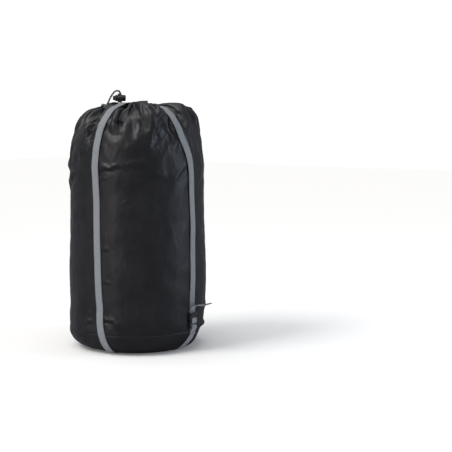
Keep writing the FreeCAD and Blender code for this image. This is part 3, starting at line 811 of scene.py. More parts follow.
def fabric_shape():
    """The fabric's points: settled folds above, the full smooth wall below."""
    def displaced(amount):
        radius = LINE[:, :1] + NORMAL[:, :1] * amount
        return ring_points(radius, LINE[:, 1:] + NORMAL[:, 1:] * amount)
    folds = displaced(starting_folds())
    moved = settle_cloth(folds) - folds
    far = np.maximum(np.linalg.norm(moved, axis=-1, keepdims=True), 1e-9)
    folds = folds + moved * np.minimum(1, FARTHEST_MOVE / far)
    near_mouth = reach_of(folds)
    folds[..., 2] = pressed_down(folds[..., 2], np.interp(near_mouth, CAP_REACH, SETTLED_CAP))
    share = smoothstep((LINE[:, 1] - 0.30) / 0.10)[:, None, None]
    flat = displaced(np.zeros((ROWS, COLS)))
    shape = displaced(wall_relief()) + share * (folds - flat)
    reach = reach_of(shape)
    droop = lock_droop() * smoothstep((reach - 0.035) / 0.06)
    fold = covering_fold()
    shape[..., 2] += lock_pillow(reach) - DROOP_DOWN * droop - SETTLED * top_share()[:, None]
    shape[..., 2] += fold * np.clip(NORMAL[:, 1:], 0, 1)
    turn = degrees_from(np.degrees(THETA), SLIM_ANGLE)
    slim = np.outer(smoothstep((LINE[:, 1] - 0.37) / 0.05), bell(turn, SLIM_SPREAD))
    wider = 1 + fold * NORMAL[:, :1] / np.maximum(reach, 0.02)
    shape[..., :2] *= (wider * (1 - DROOP_IN / RADIUS * droop) * (1 - SLIM * slim))[..., None]
    return shape


def solid_fabric(made):
    """A thin sheet of cloth with an inside."""
    sheet = made.modifiers.new("sheet", "SOLIDIFY")
    sheet.thickness, sheet.offset = SHEET, -1
    return apply_modifiers(made)


def fabric_body():
    points = refined(fabric_shape(), REFINE)
    rows, cols = points.shape[:2]
    theta = np.arange(cols) / cols * 2 * pi
    step = np.arange(rows) / REFINE
    radius, height, length = (np.interp(step, np.arange(ROWS), values)
                              for values in (LINE[:, 0], LINE[:, 1], LENGTH))
    relief = crinkle(theta, radius, height) + pleat_relief(theta, radius, height, length)
    relief *= smoothstep((length[-1] - length) / 0.008)[:, None]
    points = points + outward(points) * relief[..., None]
    reach = reach_of(points)
    cap = np.interp(reach, CAP_REACH, FINAL_CAP)
    for middle, spread, more, start in CAP_RISES:
        near = bell(degrees_from(np.degrees(theta), middle), spread)
        cap = cap + more * near * smoothstep((reach - start) / 0.02)
    points[..., 2] = pressed_down(points[..., 2], cap)
    u = np.r_[theta, 2 * pi] * RADIUS
    made = piece("sack_body", points.reshape(-1, 3), grid_faces(rows, cols),
                 "sack_fabric", grid_uv(rows, cols, u, length))
    return solid_fabric(made)


CORNER_MIDDLE = RADIUS - CORNER_RADIUS, BASE_UNDERSIDE + CORNER_RADIUS


def foot_corner(turns):
    """Points of the rounded corner between the wall and the underside."""
    return [(CORNER_MIDDLE[0] + CORNER_RADIUS * cos(a), CORNER_MIDDLE[1] + CORNER_RADIUS * sin(a))
            for a in turns]


def base_fabric():
    """The round base panel: flat underneath between the straps, rounded up to the seam."""
    flat, rounding = 17, 14
    line = [(r, BASE_UNDERSIDE) for r in np.linspace(0.004, CORNER_MIDDLE[0], flat)[:-1]]
    line += foot_corner(np.radians(np.linspace(-90, 0, rounding)))
    line += [(RADIUS - 0.0004, SEAM - 0.0008), (RADIUS - 0.0022, SEAM + 0.0006)]
    rows, cols = len(line), 180
    angles = np.arange(cols) / cols * 2 * pi
    verts = []
    for k, (r, z) in enumerate(line):
        for a in angles:
            gap = min(abs(degrees_from(degrees(a), s)) for s in STRAP_ANGLES.values())
            slack = min(1, max(0, (radians(gap) * r - STRAP_CLEAR) / 0.02))
            underneath = z <= 0.004
            swell = noise.noise(Vector(polar(1, a, r * 12)) * 4) * 0.0012 * (not underneath)
            drawn_in = float(corner_in(degrees(a))) * sin(pi * min(1, max(0, z / CORNER_TOP)))
            lift = slack * (swell - drawn_in)
            pucker = 0.0005 * sin(70 * a) * max(0, 1 - (SEAM - z) / 0.014)
            low = z - 0.0013 * slack * underneath - 0.35 * max(0, lift) * (z < 0.02)
            verts.append(polar(r + lift + pucker * (k < rows - 1), a, max(low, 0.0004)))
    made = piece("base_fabric", verts, grid_faces(rows, cols), "sack_fabric",
                 grid_uv(rows, cols, np.r_[angles, 2 * pi] * RADIUS,
                         run_length(np.array(line))))
    fill = bmesh.new()
    fill.from_mesh(made.data)
    fill.verts.ensure_lookup_table()
    fill.faces.new([fill.verts[j] for j in reversed(range(cols))]).smooth = True
    fill.to_mesh(made.data)
    fill.free()
    return solid_fabric(made)


body = fabric_body()
base = base_fabric()


def tree_of(*objects):
    """One search tree for the surfaces that the straps lie on."""
    verts, faces = [], []
    for obj in objects:
        first = len(verts)
        verts += [v.co.copy() for v in obj.data.vertices]
        faces += [[first + i for i in p.vertices] for p in obj.data.polygons]
    return BVHTree.FromPolygons(verts, faces)


SURFACE = tree_of(body, base)

# --- webbing ---
STRAP_STEP = 0.004
RIBBON_EDGE = 0.0005
LEG_GAP = 0.0003                 # between the fabric and a webbing that lies on it
CROSSING_REACH = 0.05            # radius inside which the crossing webbings are smoothed
MOUTH_EDGE = MOUTH_RADIUS + 0.012        # inside this radius a strap bridges the mouth


def ribbon(name, centres, out, slot="webbing", width=WEBBING_WIDTH,
           thickness=DRAWN_THICKNESS, start=0.0):
    """A flat strip with softly rounded edges along a line; out is its upper side's normal."""
    centres, out = np.asarray(centres, float), np.asarray(out, float)
    way = directions(centres)
    side = np.cross(out, way)
    side /= np.linalg.norm(side, axis=1)[:, None]
    up = np.cross(way, side)
    w, h = width / 2, thickness / 2
    half = [(-w + 2 * RIBBON_EDGE, h), (-w / 2, h), (0, h * 1.06), (w / 2, h),
            (w - 2 * RIBBON_EDGE, h), (w - 0.5 * RIBBON_EDGE, h * 0.75), (w, 0)]
    section = half + [(-x, -y) for x, y in half]
    verts = [c + s * x + u * y for c, s, u in zip(centres, side, up) for x, y in section]
    made = capped(name, verts, len(section), slot, [x + w for x, _ in section + section[:1]],
                  start + run_length(centres))
    made.data.polygons[-1].use_smooth = made.data.polygons[-2].use_smooth = False
    return made


def over_line():
    """A strap's own line in its upright plane, from the top centre down the side and under
    the base: radius, height and outward normal. It bridges the dip at the mouth."""
    line = [(r, CHANNEL_HIGH.z + 0.0006) for r in np.arange(0, MOUTH_RADIUS + 0.003, STRAP_STEP)]
    line += [tuple(p) for p in LINE[::-1] if p[0] > MOUTH_EDGE]
    line += foot_corner(np.linspace(0, -pi / 2, 16))
    line += [(r, BASE_UNDERSIDE)
             for r in np.arange(CORNER_MIDDLE[0], PATCH_RADIUS, -STRAP_STEP)[1:]]
    line, _ = along(line, STRAP_STEP)
    way = directions(line)
    return line, np.stack([-way[:, 1], way[:, 0]], axis=1)


OVER, OVER_OUT = over_line()


def leg_line(name):
    """One leg of a webbing from the top centre down: centres and outward normals."""
    angle = np.radians(STRAP_ANGLES[name] + softened(strap_lean(name, OVER[:, 1]), 5))
    radial = np.stack([np.cos(angle), np.sin(angle), np.zeros_like(angle)], axis=1)
    across = np.stack([-np.sin(angle), np.cos(angle), np.zeros_like(angle)], axis=1)
    points, out = (radial * line[:, :1] + np.array([0, 0, 1]) * line[:, 1:]
                   for line in (OVER, OVER_OUT))
    start, miss = 0.03, -0.002
    lift = []
    for p, n, side in zip(points, out, across):
        hits = []
        for share in (-0.48, -0.24, 0, 0.24, 0.48):
            above = Vector(p + side * share * WEBBING_WIDTH + n * start)
            hit = SURFACE.ray_cast(above, Vector(-n), 0.05)
            hits.append(start - hit[3] if hit[0] is not None else miss)
        lift.append(max(hits))
    lift = np.array(lift)
    bridging = OVER[:, 0] < MOUTH_EDGE
    lift[bridging] = np.maximum(lift[bridging], 0)
    raised = np.array([lift[max(0, i - 2):i + 3].max() for i in range(len(lift))])
    lift = np.maximum(softened(raised, 3), lift) + LEG_GAP + DRAWN_THICKNESS / 2
    return points + out * lift[:, None], out


def crossing(name, first, last, ends, rise):
    """A webbing from one leg over the top to the other. ends are how many of each leg's
    points it keeps."""
    centres, out = (np.concatenate([a[:ends[0]][::-1], b[1:ends[1]]])
                    for a, b in zip(leg_line(first), leg_line(last)))
    for column in centres.T:
        near = reach_of(centres) < CROSSING_REACH
        column[near] = softened(column, 4)[near]
    reach = reach_of(centres)
    high = centres[:, 2] > CREST - 0.02
    centres[:, 2] += np.where(high, rise * (1 - smoothstep((reach - 0.013) / 0.02)), 0)
    return ribbon(name, centres, out)


FEED_TOP = 0.112                 # where the webbing that feeds a lock takes over
feed_row = int(np.argmin(np.abs(OVER[:, 1] - FEED_TOP) + 10 * (OVER[:, 0] < 0.12)))
front_back = crossing("front_back_webbing", "front", "back", (len(OVER), feed_row + 1), 0.0)
left_right = crossing("left_right_webbing", "left", "right", (feed_row + 1, feed_row + 1),
                      WEBBING_THICKNESS + 0.0002)


def upright_line(corners, radii, spacing=0.0012):
    """A strap's path in its own upright plane, and its upper side's normal."""
    line = rounded([(r, 0, z) for r, z in corners], radii)
    line, _ = along([tuple(p) for p in line], spacing)
    return line, upper_side(line)


def upper_side(line):
    """The normal of the upper side of a path in its upright plane."""
    way = directions(line)
    return np.stack([-way[:, 2], way[:, 1], way[:, 0]], axis=1)


def leaning(line, out, angle, lean, low=0.033):
    """Turn a strap's path to its place, leaning more the lower it goes."""
    share = np.clip(1 - line[:, 2] / low, 0, 1) * np.clip(line[:, 0] / RADIUS, 0, 1)
    return (turned(values, angle + lean * share) for values in (line, out))


# --- sizes of the hardware, beside the webbing's middle line at STRAP_LINE ---
BAR_HEIGHT, BAR_PLACE, BAR_RADIUS = 0.0525, STRAP_LINE + 0.00285, 0.002
PLY = WEBBING_THICKNESS + 0.0001                 # from one webbing's middle to the next
LOOP = BAR_RADIUS + 0.0001 + WEBBING_THICKNESS / 2
LOWER_LEAN = {"right": -9, "back": 2, "left": 2}


def anchor_strap(name):
    """From under the base round the corner, over the lock's anchor bar and sewn to itself."""
    low, top = WEBBING_THICKNESS / 2, BAR_HEIGHT + LOOP
    out, ply = STRAP_LINE, STRAP_LINE + PLY
    corners = [(PATCH_RADIUS, low), (out, low), (out, top), (out + 2 * LOOP, top),
               (out + 2 * LOOP, top - 2.6 * LOOP), (ply, top - 4.6 * LOOP), (ply, 0.0345)]
    radii = [out - RADIUS + CORNER_RADIUS, LOOP, LOOP, 2 * LOOP, 2 * LOOP]
    line, normal = upright_line(corners, radii)
    place, out_side = leaning(line, normal, STRAP_ANGLES[name], LOWER_LEAN[name])
    made = ribbon(f"{name}_anchor_webbing", place, -out_side)
    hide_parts(f"{name}_lower_strap")
    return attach(made, "base")


def lock_feed(name):
    """The loaded webbing from the wall into its lock."""
    a, _ = leg_line(name)
    rows = [k for k in range(feed_row + 2) if a[k, 2] < FEED_TOP + 0.006 and k > feed_row - 3]
    line = np.array([(STRAP_LINE, 0, z) for z in np.arange(LEG_START, 0.0690, -0.0015)])
    lower = on_strap(line, name)
    centres, _ = along(np.concatenate([a[rows], lower]), 0.002)
    out = np.tile(on_strap([(1, 0, 0)], name), (len(centres), 1))
    made = ribbon(f"{name}_feed_webbing", centres, out)
    place = on_strap([(STRAP_LINE, 0, 0)], name)[0]
    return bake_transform(made)


# The free tail: out from the sack's axis, and height. It ends in a hem folded back on itself.
TAIL_CURVE = [(0.14175, 0.0850), (0.1428, 0.0895), (0.1465, 0.0930), (0.1530, 0.0950),
              (0.1610, 0.0963), (0.1690, 0.0970), (0.1765, 0.0985), (0.1838, 0.1010)]
HEM_LENGTH = 0.012


def loose_tail(name):
    """Webbing round the lock's middle bar and out under its grip, with a hemmed free end."""
    t = WEBBING_THICKNESS
    out, front, ply = STRAP_LINE, STRAP_LINE + 0.00625, STRAP_LINE + 0.0017
    low, high = 0.0586, 0.0689
    corners = [(out, 0.0688), (out, low), (front, low), (front, high), (ply, high),
               TAIL_CURVE[0]]
    wrap, _ = upright_line(corners, [1.25 * t, t, t, 0.9 * t])
    tail = spline_through([(r, 0, z) for r, z in TAIL_CURVE], 12)
    end, way = tail[-1], tail[-1] - tail[-2]
    way /= np.linalg.norm(way)
    up = np.array([-way[2], 0, way[0]])
    turn = [end + way * 0.0008 * sin(a) + up * 0.00078 * (1 - cos(a))
            for a in np.linspace(0.3, pi, 8)]
    back = [turn[-1] - way * HEM_LENGTH * k / 8 for k in range(1, 9)]
    line, _ = along(np.concatenate([wrap, tail[1:], turn, back]), 0.0011)
    made = ribbon(f"{name}_loose_tail", on_strap(line, name),
                  on_strap(upper_side(line), name), start=0.07)
    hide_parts(f"{name}_strap_tail")
    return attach(made, f"{name}_lock")


# --- stitching ---
STITCH_SIDES = 6
STITCH_RINGS = [(-1, 0.35), (-0.6, 0.9), (0, 1.0), (0.6, 0.9), (1, 0.35)]     # place, size


def stitch_row(points, out, pitch=0.0028, length=0.0021, radius=0.00026, proud=0.00012):
    """Little rounded stitches along a line, as vertices and faces."""
    points, out = np.asarray(points, float), np.asarray(out, float)
    far = run_length(points)
    def at(values, where):
        return Vector([np.interp(where, far, column) for column in values.T])
    rings = len(STITCH_RINGS)
    faces = grid_faces(rings, STITCH_SIDES) + caps(rings, STITCH_SIDES)
    stitches = []
    for middle in np.arange(pitch / 2, far[-1] - pitch / 4, pitch):
        a, b = at(points, middle - length / 2), at(points, middle + length / 2)
        up = at(out, middle).normalized()
        way = (b - a).normalized()
        side = up.cross(way)
        verts = []
        for share, size in STITCH_RINGS:
            centre = (a + b) / 2 + way * share * length / 2
            centre += up * (proud - radius * 0.8 * share * share)
            verts += [centre + (side * cos(turn) + up * sin(turn)) * radius * size
                      for turn in round_turns(STITCH_SIDES)]
        stitches.append((verts, faces))
    return joined(stitches)


def stitching(name, rows, look="thread", **sizes):
    """One piece from several rows of stitches."""
    verts, faces = joined(stitch_row(points, out, **sizes) for points, out in rows)
    return piece(name, verts, faces, "thread", look=look)


def box_and_cross(half):
    """The rows of a box stitch with a cross in it."""
    corners = [(-half, -half), (half, -half), (half, half), (-half, half)]
    return list(zip(corners, corners[1:] + corners[:1])) + [(corners[0], corners[2]),
                                                            (corners[1], corners[3])]


# --- the drawcord, its channel and the cord lock ---
CORD_DIAMETER = 0.0036
# The free loop, from one eyelet through the lock, round and back to the other: distance along
# the cord lock's radial line, distance across it, height.
CORD_ROUTE = [
    (0.0208, 0.0036, 0.4938), (0.0250, 0.0035, 0.4958), (0.0295, 0.0028, 0.4972),
    (0.0325, 0.0023, 0.5002), (0.0330, 0.0021, 0.5050), (0.0330, 0.0023, 0.5120),
    (0.0331, 0.0021, 0.5195), (0.0376, 0.0024, 0.5240), (0.0444, 0.0032, 0.5226),
    (0.0505, 0.0044, 0.5150), (0.0552, 0.0058, 0.5080), (0.0602, 0.0066, 0.5030),
    (0.0652, 0.0062, 0.5010), (0.0697, 0.0026, 0.5000), (0.0712, -0.0038, 0.4992),
    (0.0690, -0.0098, 0.4995), (0.0640, -0.0118, 0.5005), (0.0594, -0.0104, 0.5030),
    (0.0548, -0.0076, 0.5080), (0.0502, -0.0046, 0.5150), (0.0444, -0.0030, 0.5226),
    (0.0376, -0.0024, 0.5241), (0.0331, -0.0021, 0.5196), (0.0330, -0.0023, 0.5120),
    (0.0330, -0.0021, 0.5052), (0.0325, -0.0023, 0.5003), (0.0295, -0.0028, 0.4972),
    (0.0250, -0.0035, 0.4958), (0.0208, -0.0036, 0.4938),
]


def laid(point):
    """The outer part of the loop comes down on to the fabric."""
    hit = SURFACE.ray_cast(Vector((point.x, point.y, 0.6)), Vector((0, 0, -1)))[0]
    share = smoothstep((hypot(point.x, point.y) - 0.050) / 0.014)
    rest = (hit.z if hit else point.z) + CORD_DIAMETER / 2 + 0.0005
    low = smoothstep((0.512 - point.z) / 0.010)
    return Vector((point.x, point.y, point.z + (rest - point.z) * float(share * low)))


def cord_path():
    """The route's smooth line."""
    data = bpy.data.curves.new("cord_route", "CURVE")
    data.dimensions, data.resolution_u = "3D", 12
    spline = data.splines.new("NURBS")
    spline.points.add(len(CORD_ROUTE) - 1)
    for point, place in zip(spline.points, turned(CORD_ROUTE, CORD_LOCK_ANGLE)):
        point.co = (*place, 1)
    spline.order_u, spline.use_endpoint_u = 3, True
    guide = add("cord_route", data)
    mesh = bpy.data.meshes.new_from_object(guide)
    path = np.array([laid(v.co) for v in mesh.vertices])
    outer = smoothstep((reach_of(path) - 0.046) / 0.008)
    for column in path.T:
        column += outer * (softened(column, 8) - column)
    bpy.data.objects.remove(guide)
    bpy.data.curves.remove(data)
    bpy.data.meshes.remove(mesh)
    return path


def tube_mesh(name, path, radius, sides, slot, ripple=0.0):
    """A round tube along a path, with UVs: a turn across, metres along."""
    points = [Vector(p) for p in path]
    verts, up = [], Vector((0, 0, 1))
    far = [0.0]
    for k, p in enumerate(points):
        way = (points[min(k + 1, len(points) - 1)] - points[max(k - 1, 0)]).normalized()
        up = (up - way * up.dot(way)).normalized()
        side = way.cross(up)
        if k:
            far.append(far[-1] + (p - points[k - 1]).length)
        strand = 2 * pi * far[-1] / CORD_LAY
        for a in round_turns(sides):
            swell = 1 + ripple * cos(3 * a + strand) * cos(3 * a - strand)
            verts.append(p + (side * cos(a) + up * sin(a)) * radius * swell)
    return capped(name, verts, sides, slot, [j / sides for j in range(sides + 1)], far)


def ruffled_channel():
    """The gathered hem over the drawcord: a ring whose skin puckers all the way round."""
    minor = (CHANNEL_HIGH.z - CHANNEL_LOW.z) / 2
    major = CHANNEL_HIGH.x - minor
    height = (CHANNEL_HIGH.z + CHANNEL_LOW.z) / 2 - 0.0015
    rows, cols = 360, 40
    phases = np.random.default_rng(SEED + 1).uniform(0, 2 * pi, 4)
    verts = []
    for a in round_turns(rows):
        fold = (0.55 * cos(26 * a + 1.2 * sin(3 * a + phases[0]))
                + 0.3 * cos(17 * a + phases[1]) + 0.25 * cos(41 * a + phases[2]))
        lean = 0.0012 * sin(9 * a + phases[3])
        for b in round_turns(cols):
            thick = minor * (0.98 + 0.16 * fold * (0.75 + 0.25 * cos(2 * b)))
            r = major + thick * cos(b)
            verts.append((r * cos(a) - lean * sin(b) * sin(a), r * sin(a) + lean * sin(b) * cos(a),
                          height + thick * sin(b) + 0.0005 * fold))
    faces = [(i * cols + j, ((i + 1) % rows) * cols + j,
              ((i + 1) % rows) * cols + (j + 1) % cols, i * cols + (j + 1) % cols)
             for i in range(rows) for j in range(cols)]
    uv = [(major * 2 * pi * x / rows, minor * 2 * pi * y / cols)
          for i in range(rows) for j in range(cols)
          for x, y in ((i, j), (i + 1, j), (i + 1, j + 1), (i, j + 1))]
    made = piece("gathered_channel", verts, faces, "sack_fabric", uv)
    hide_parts("drawcord_channel")
    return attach(made, "crown")


def turned_faces(rows, sides):
    """Faces of a closed turned shape whose rings go the other way round."""
    return [f[::-1] for f in grid_faces(rows, sides) + caps(rows, sides)]


def lathe(name, outline, slot, sides=64):
    """A closed turned shape: outline gives (along its axis, radius), from end to end."""
    verts = [(x, r * cos(a), r * sin(a)) for x, r in outline for a in round_turns(sides)]
    return piece(name, verts, turned_faces(len(outline), sides), slot)


def cut_away(made, cutters):
    """Boolean differences, applied."""
    for k, cutter in enumerate(cutters):
        mod = made.modifiers.new(f"cut{k}", "BOOLEAN")
        mod.operation, mod.solver, mod.object = "DIFFERENCE", "EXACT", cutter
    apply_modifiers(made)
    for cutter in cutters:
        drop(cutter)
    return made


def softened_edges(made, width):
    bevel = made.modifiers.new("edges", "BEVEL")
    bevel.width, bevel.segments, bevel.limit_method = width, 2, "ANGLE"
    bevel.angle_limit = radians(40)
    return apply_modifiers(made)


def gate_cutter(low, high, reach):
    """The slot for the cord, right through the lock."""
    block = bmesh.new()
    bmesh.ops.create_cube(block, size=1)
    corners = (low, -GATE_WIDTH / 2, -reach), (high, GATE_WIDTH / 2, reach)
    for v in block.verts:
        v.co = [corners[v.co[k] >= 0][k] for k in range(3)]
    mesh = bpy.data.meshes.new("gate")
    block.to_mesh(mesh)
    block.free()
    return add("gate", mesh)


BARREL_START, BARREL_LENGTH, BARREL_RADIUS = 0.0225, 0.021, 0.0065
BARREL_HEIGHT = 0.5085
BORE_RADIUS, PLUNGER_RADIUS = 0.0047, 0.0046
PLUNGER_START, PLUNGER_LENGTH, PLUNGER_TRAVEL = 0.030, 0.0185, 0.0035
GATE_PLACE, GATE_WIDTH = 0.033, 0.0086


def place_on_lock(made):
    """From the lock's own line (along x, level) to its place beside the mouth."""
    turn = Matrix.Rotation(radians(CORD_LOCK_ANGLE), 4, "Z")
    made.data.transform(turn @ Matrix.Translation((0, 0, BARREL_HEIGHT)))
    return made


def lock_barrel():
    """The cord lock's barrel: a domed closed end, two grip grooves and a lip round the bore."""
    r, x0, x1 = BARREL_RADIUS, BARREL_START, BARREL_START + BARREL_LENGTH
    dome = [(x0 + 0.0022 * (1 - cos(a)), r - 0.0022 * (1 - sin(a)))
            for a in np.linspace(0, pi / 2, 8)]
    outline = [(x0, 0.0004)] + dome
    for groove in (x1 - 0.0066, x1 - 0.0045):
        outline += [(groove, r), (groove + 0.0003, r - 0.0005), (groove + 0.0009, r - 0.0005),
                    (groove + 0.0012, r)]
    outline += [(x1 - 0.0018, r), (x1 - 0.0014, r + 0.0003), (x1 - 0.0005, r + 0.0003),
                (x1, r - 0.0002), (x1, 0.0004)]
    made = lathe("cord_lock_body", outline, "lock_plastic")
    bore = lathe("bore", [(x0 + 0.0013, 0.0004), (x0 + 0.0013, BORE_RADIUS),
                          (x1 + 0.002, BORE_RADIUS), (x1 + 0.002, 0.0004)], "lock_plastic")
    half = CORD_DIAMETER / 2 + 0.0005
    cut_away(made, [bore, gate_cutter(GATE_PLACE - half, GATE_PLACE + half, 2 * r)])
    softened_edges(made, 0.00022)
    place_on_lock(made)
    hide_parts("cord_lock_barrel")
    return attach(made, "cord_lock")


def lock_button():
    """The push button, whose own gate pinches the cord."""
    x0, x1 = PLUNGER_START, PLUNGER_START + PLUNGER_LENGTH
    r = PLUNGER_RADIUS
    dome = [(x1 - 0.0013 * (1 - sin(a)), r - 0.0013 * (1 - cos(a)))
            for a in np.linspace(0, pi / 2, 7)]
    outline = [(x0, 0.0004), (x0, r - 0.0004), (x0 + 0.0004, r)] + dome
    outline += [(x1, r * 0.72), (x1 - 0.0005, r * 0.62), (x1 - 0.0006, 0.0004)]
    made = lathe("cord_lock_button", outline, "button_plastic")
    low = GATE_PLACE - CORD_DIAMETER / 2 - 0.0001
    high = GATE_PLACE + CORD_DIAMETER / 2 + PLUNGER_TRAVEL + 0.0004
    cut_away(made, [gate_cutter(low, high, 2 * r)])
    softened_edges(made, 0.0002)
    place_on_lock(made)
    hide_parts("cord_lock_plunger")
    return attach(made, "cord_button")


def lock_spring():
    """A wire helix for the button to push against."""
    low, high = BARREL_START + 0.0018, PLUNGER_START - 0.0005
    turns, steps, radius = 3.5, 28, 0.0032
    total = int(turns * steps)
    path = [(low + (high - low) * k / total, radius * cos(2 * pi * k / steps),
             radius * sin(2 * pi * k / steps)) for k in range(total + 1)]
    made = tube_mesh("cord_lock_coil", path, 0.0003, 10, "spring_steel")
    place_on_lock(made)
    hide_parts("cord_lock_spring")
    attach(made, "cord_lock")
    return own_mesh(made)


# --- ladder locks ---

def rod(centres, halves, axis_a, axis_b, power=4, sides=32):
    """A closed bar with a rounded-rectangle section along a few centres."""
    def rounding(share, half):
        return abs(share) ** (2 / power) * (1 if share >= 0 else -1) * half
    verts = [Vector(centre) + Vector(axis_a) * rounding(cos(t), a)
             + Vector(axis_b) * rounding(sin(t), b)
             for centre, (a, b) in zip(centres, halves) for t in round_turns(sides)]
    return verts, grid_faces(len(centres), sides) + caps(len(centres), sides)


def ladder_lock_mesh():
    """One moulded ladder lock, facing +X: two rails, three bars and a ridged thumb grip."""
    back, half = STRAP_LINE + 0.00105, WEBBING_WIDTH / 2 + 0.0036
    X, Y, Z = (1, 0, 0), (0, 1, 0), (0, 0, 1)
    rods = []
    # Rails: height, then in millimetres half the depth, half the width and how far forward.
    rail = [(0.0500, 1.2, 1.1, 0), (0.0508, 1.8, 1.45, 0), (0.0525, 2.0, 1.5, 0),
            (0.0600, 2.0, 1.5, 0), (0.0690, 2.0, 1.5, 0.1), (0.0730, 2.2, 1.5, 0.7),
            (0.0765, 2.3, 1.5, 1.2), (0.0785, 2.2, 1.45, 1.3), (0.0796, 1.6, 1.1, 1.3)]
    for side in (-1, 1):
        rods.append(rod([(back + (2.0 + move) / 1000, side * (half - 0.0015), z)
                         for z, _, _, move in rail],
                        [(a / 1000, b / 1000) for _, a, b, _ in rail], X, Y, 3.2))
    wide = [(-half + 0.0011, 0.9), (-half + 0.0018, 1), (0, 1), (half - 0.0018, 1),
            (half - 0.0011, 0.9)]
    for x, z, a, b, power in ((BAR_PLACE, BAR_HEIGHT, 2.0, 2.0, 2),
                              (back + 0.00225, 0.06375, 1.75, 2.75, 3.2),
                              (back + 0.0041, 0.07575, 2.4, 4.25, 3.6)):
        rods.append(rod([(x, y, z) for y, _ in wide],
                        [(a * s / 1000, b * s / 1000) for _, s in wide], X, Z, power))
    for k in range(4):
        ends = [side * (half - end) for side, end in ((-1, 0.0036), (-1, 0.0042),
                                                      (1, 0.0042), (1, 0.0036))]
        rods.append(rod([(back + 0.0063, y, 0.0730 + 0.0019 * k) for y in ends],
                        [(s / 1000, s / 1000) for s in (0.2, 0.55, 0.55, 0.2)], X, Z, 2, 16))
    made = piece("ladder_lock", *joined(rods), "lock_plastic")
    fused = made.modifiers.new("moulded", "REMESH")
    fused.mode, fused.voxel_size, fused.use_smooth_shade = "VOXEL", 0.00042, True
    soft = made.modifiers.new("soft", "SMOOTH")
    soft.factor, soft.iterations = 0.5, 3
    apply_modifiers(made)
    mesh = made.data
    bpy.data.objects.remove(made)
    return mesh


LADDER_LOCK = ladder_lock_mesh()


def ladder_lock(name):
    made = add(f"{name}_lock_frame", LADDER_LOCK.copy())
    made.data.transform(Matrix.Rotation(radians(STRAP_ANGLES[name]), 4, "Z"))
    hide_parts(f"{name}_ladder_lock")
    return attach(made, f"{name}_lock")


# --- everything in place ---
cord_line, _ = along(cord_path(), 0.0006)
cord = tube_mesh("drawcord_tail", cord_line, CORD_DIAMETER / 2, 24, "drawcord", 0.045)
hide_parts("drawcord_loop")
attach(cord, "crown")
barrel, button, coil = lock_barrel(), lock_button(), lock_spring()
tuple(turned([CORD_ROUTE[0]], CORD_LOCK_ANGLE)[0])

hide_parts("sack_wall", "crown", "gathered_top")
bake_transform(body)
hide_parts("base_panel")
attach(base, "base")
ruffled_channel()

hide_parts("front_back_strap", "front_strap_leg", "back_strap_leg",
            "front_lower_strap")
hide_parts("left_right_strap", "left_strap_leg", "right_strap_leg")
for webbing in (front_back, left_right):
    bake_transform(webbing)
for strap in LOCKED_STRAPS:
    anchor_strap(strap)
    lock_feed(strap)
    loose_tail(strap)
    ladder_lock(strap)


OUTSIDE = RADIUS + 0.02          # rows of stitches are laid on the wall from here


def on_wall(places):
    """Points on the fabric and their outward sides, for (angle, height) places."""
    placed, out = [], []
    for angle, height in places:
        inward = -Vector(polar(1, angle, 0))
        hit = SURFACE.ray_cast(Vector(polar(OUTSIDE, angle, height)), inward, 0.06)[0]
        if hit is not None:
            placed.append(hit)
            out.append(-inward)
    return placed, out


def seam_stitching():
    """Dark stitches below the seam between the base and the wall."""
    row = on_wall([(a, SEAM - 0.0035) for a in np.linspace(0, 2 * pi, 721)])
    made = stitching("base_seam_stitching", [row], look="dark_thread")
    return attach(made, "base")


seam_stitching()

WALL_SEAM_ANGLE = 135


def wall_seam():
    """The wall's upright seam: a folded tape inside and a row of dark stitches outside."""
    a = radians(WALL_SEAM_ANGLE)
    placed, out = on_wall([(a, z) for z in np.arange(SEAM + 0.004, 0.413, 0.003)])
    stitches = stitching("wall_seam_stitching", [(placed, out)], look="dark_thread")
    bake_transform(stitches)
    deep = np.array([tuple(p - way * 0.0038) for p, way in zip(placed, out)])
    side = np.array([(-sin(a), cos(a), 0)] * len(deep))
    tape = ribbon("wall_seam_tape", deep, side, slot="binding_tape", width=0.0048,
                  thickness=0.0013)
    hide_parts("wall_seam_binding")
    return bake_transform(tape)


wall_seam()


def crossing_box():
    """The box stitch that holds the two webbings together over the mouth."""
    top = max((front_back.matrix_world @ v.co).z for v in left_right.data.vertices
              if abs(v.co.x) < 0.008 and abs(v.co.y) < 0.008)
    centre = Vector((0, 0, top))
    up = Vector((0, 0, 1))
    rows = [([centre + Vector((*p, 0)) for p in ends], [up, up])
            for ends in box_and_cross(WEBBING_WIDTH / 2 - 0.002)]
    made = stitching("crossing_box_stitch", rows)
    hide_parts("crossing_stitching")
    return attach(made, "crown")


crossing_box()


def bar_tacks():
    """Dense stitches across each anchor webbing, where its end is sewn to itself."""
    rows = []
    face, wide = STRAP_LINE + PLY + DRAWN_THICKNESS / 2, WEBBING_WIDTH / 2 - 0.0014
    for strap in LOCKED_STRAPS:
        for level in (0.0362, 0.0372, 0.0382):
            ends = [(face, side, level) for side in (-wide, wide)]
            rows.append([on_strap(values, strap) for values in (ends, [(1, 0, 0)] * 2)])
    made = stitching("anchor_bar_tacks", rows, pitch=0.0013, length=0.0016, radius=0.0003)
    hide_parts("loop_bar_tacks")
    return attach(made, "base")


bar_tacks()


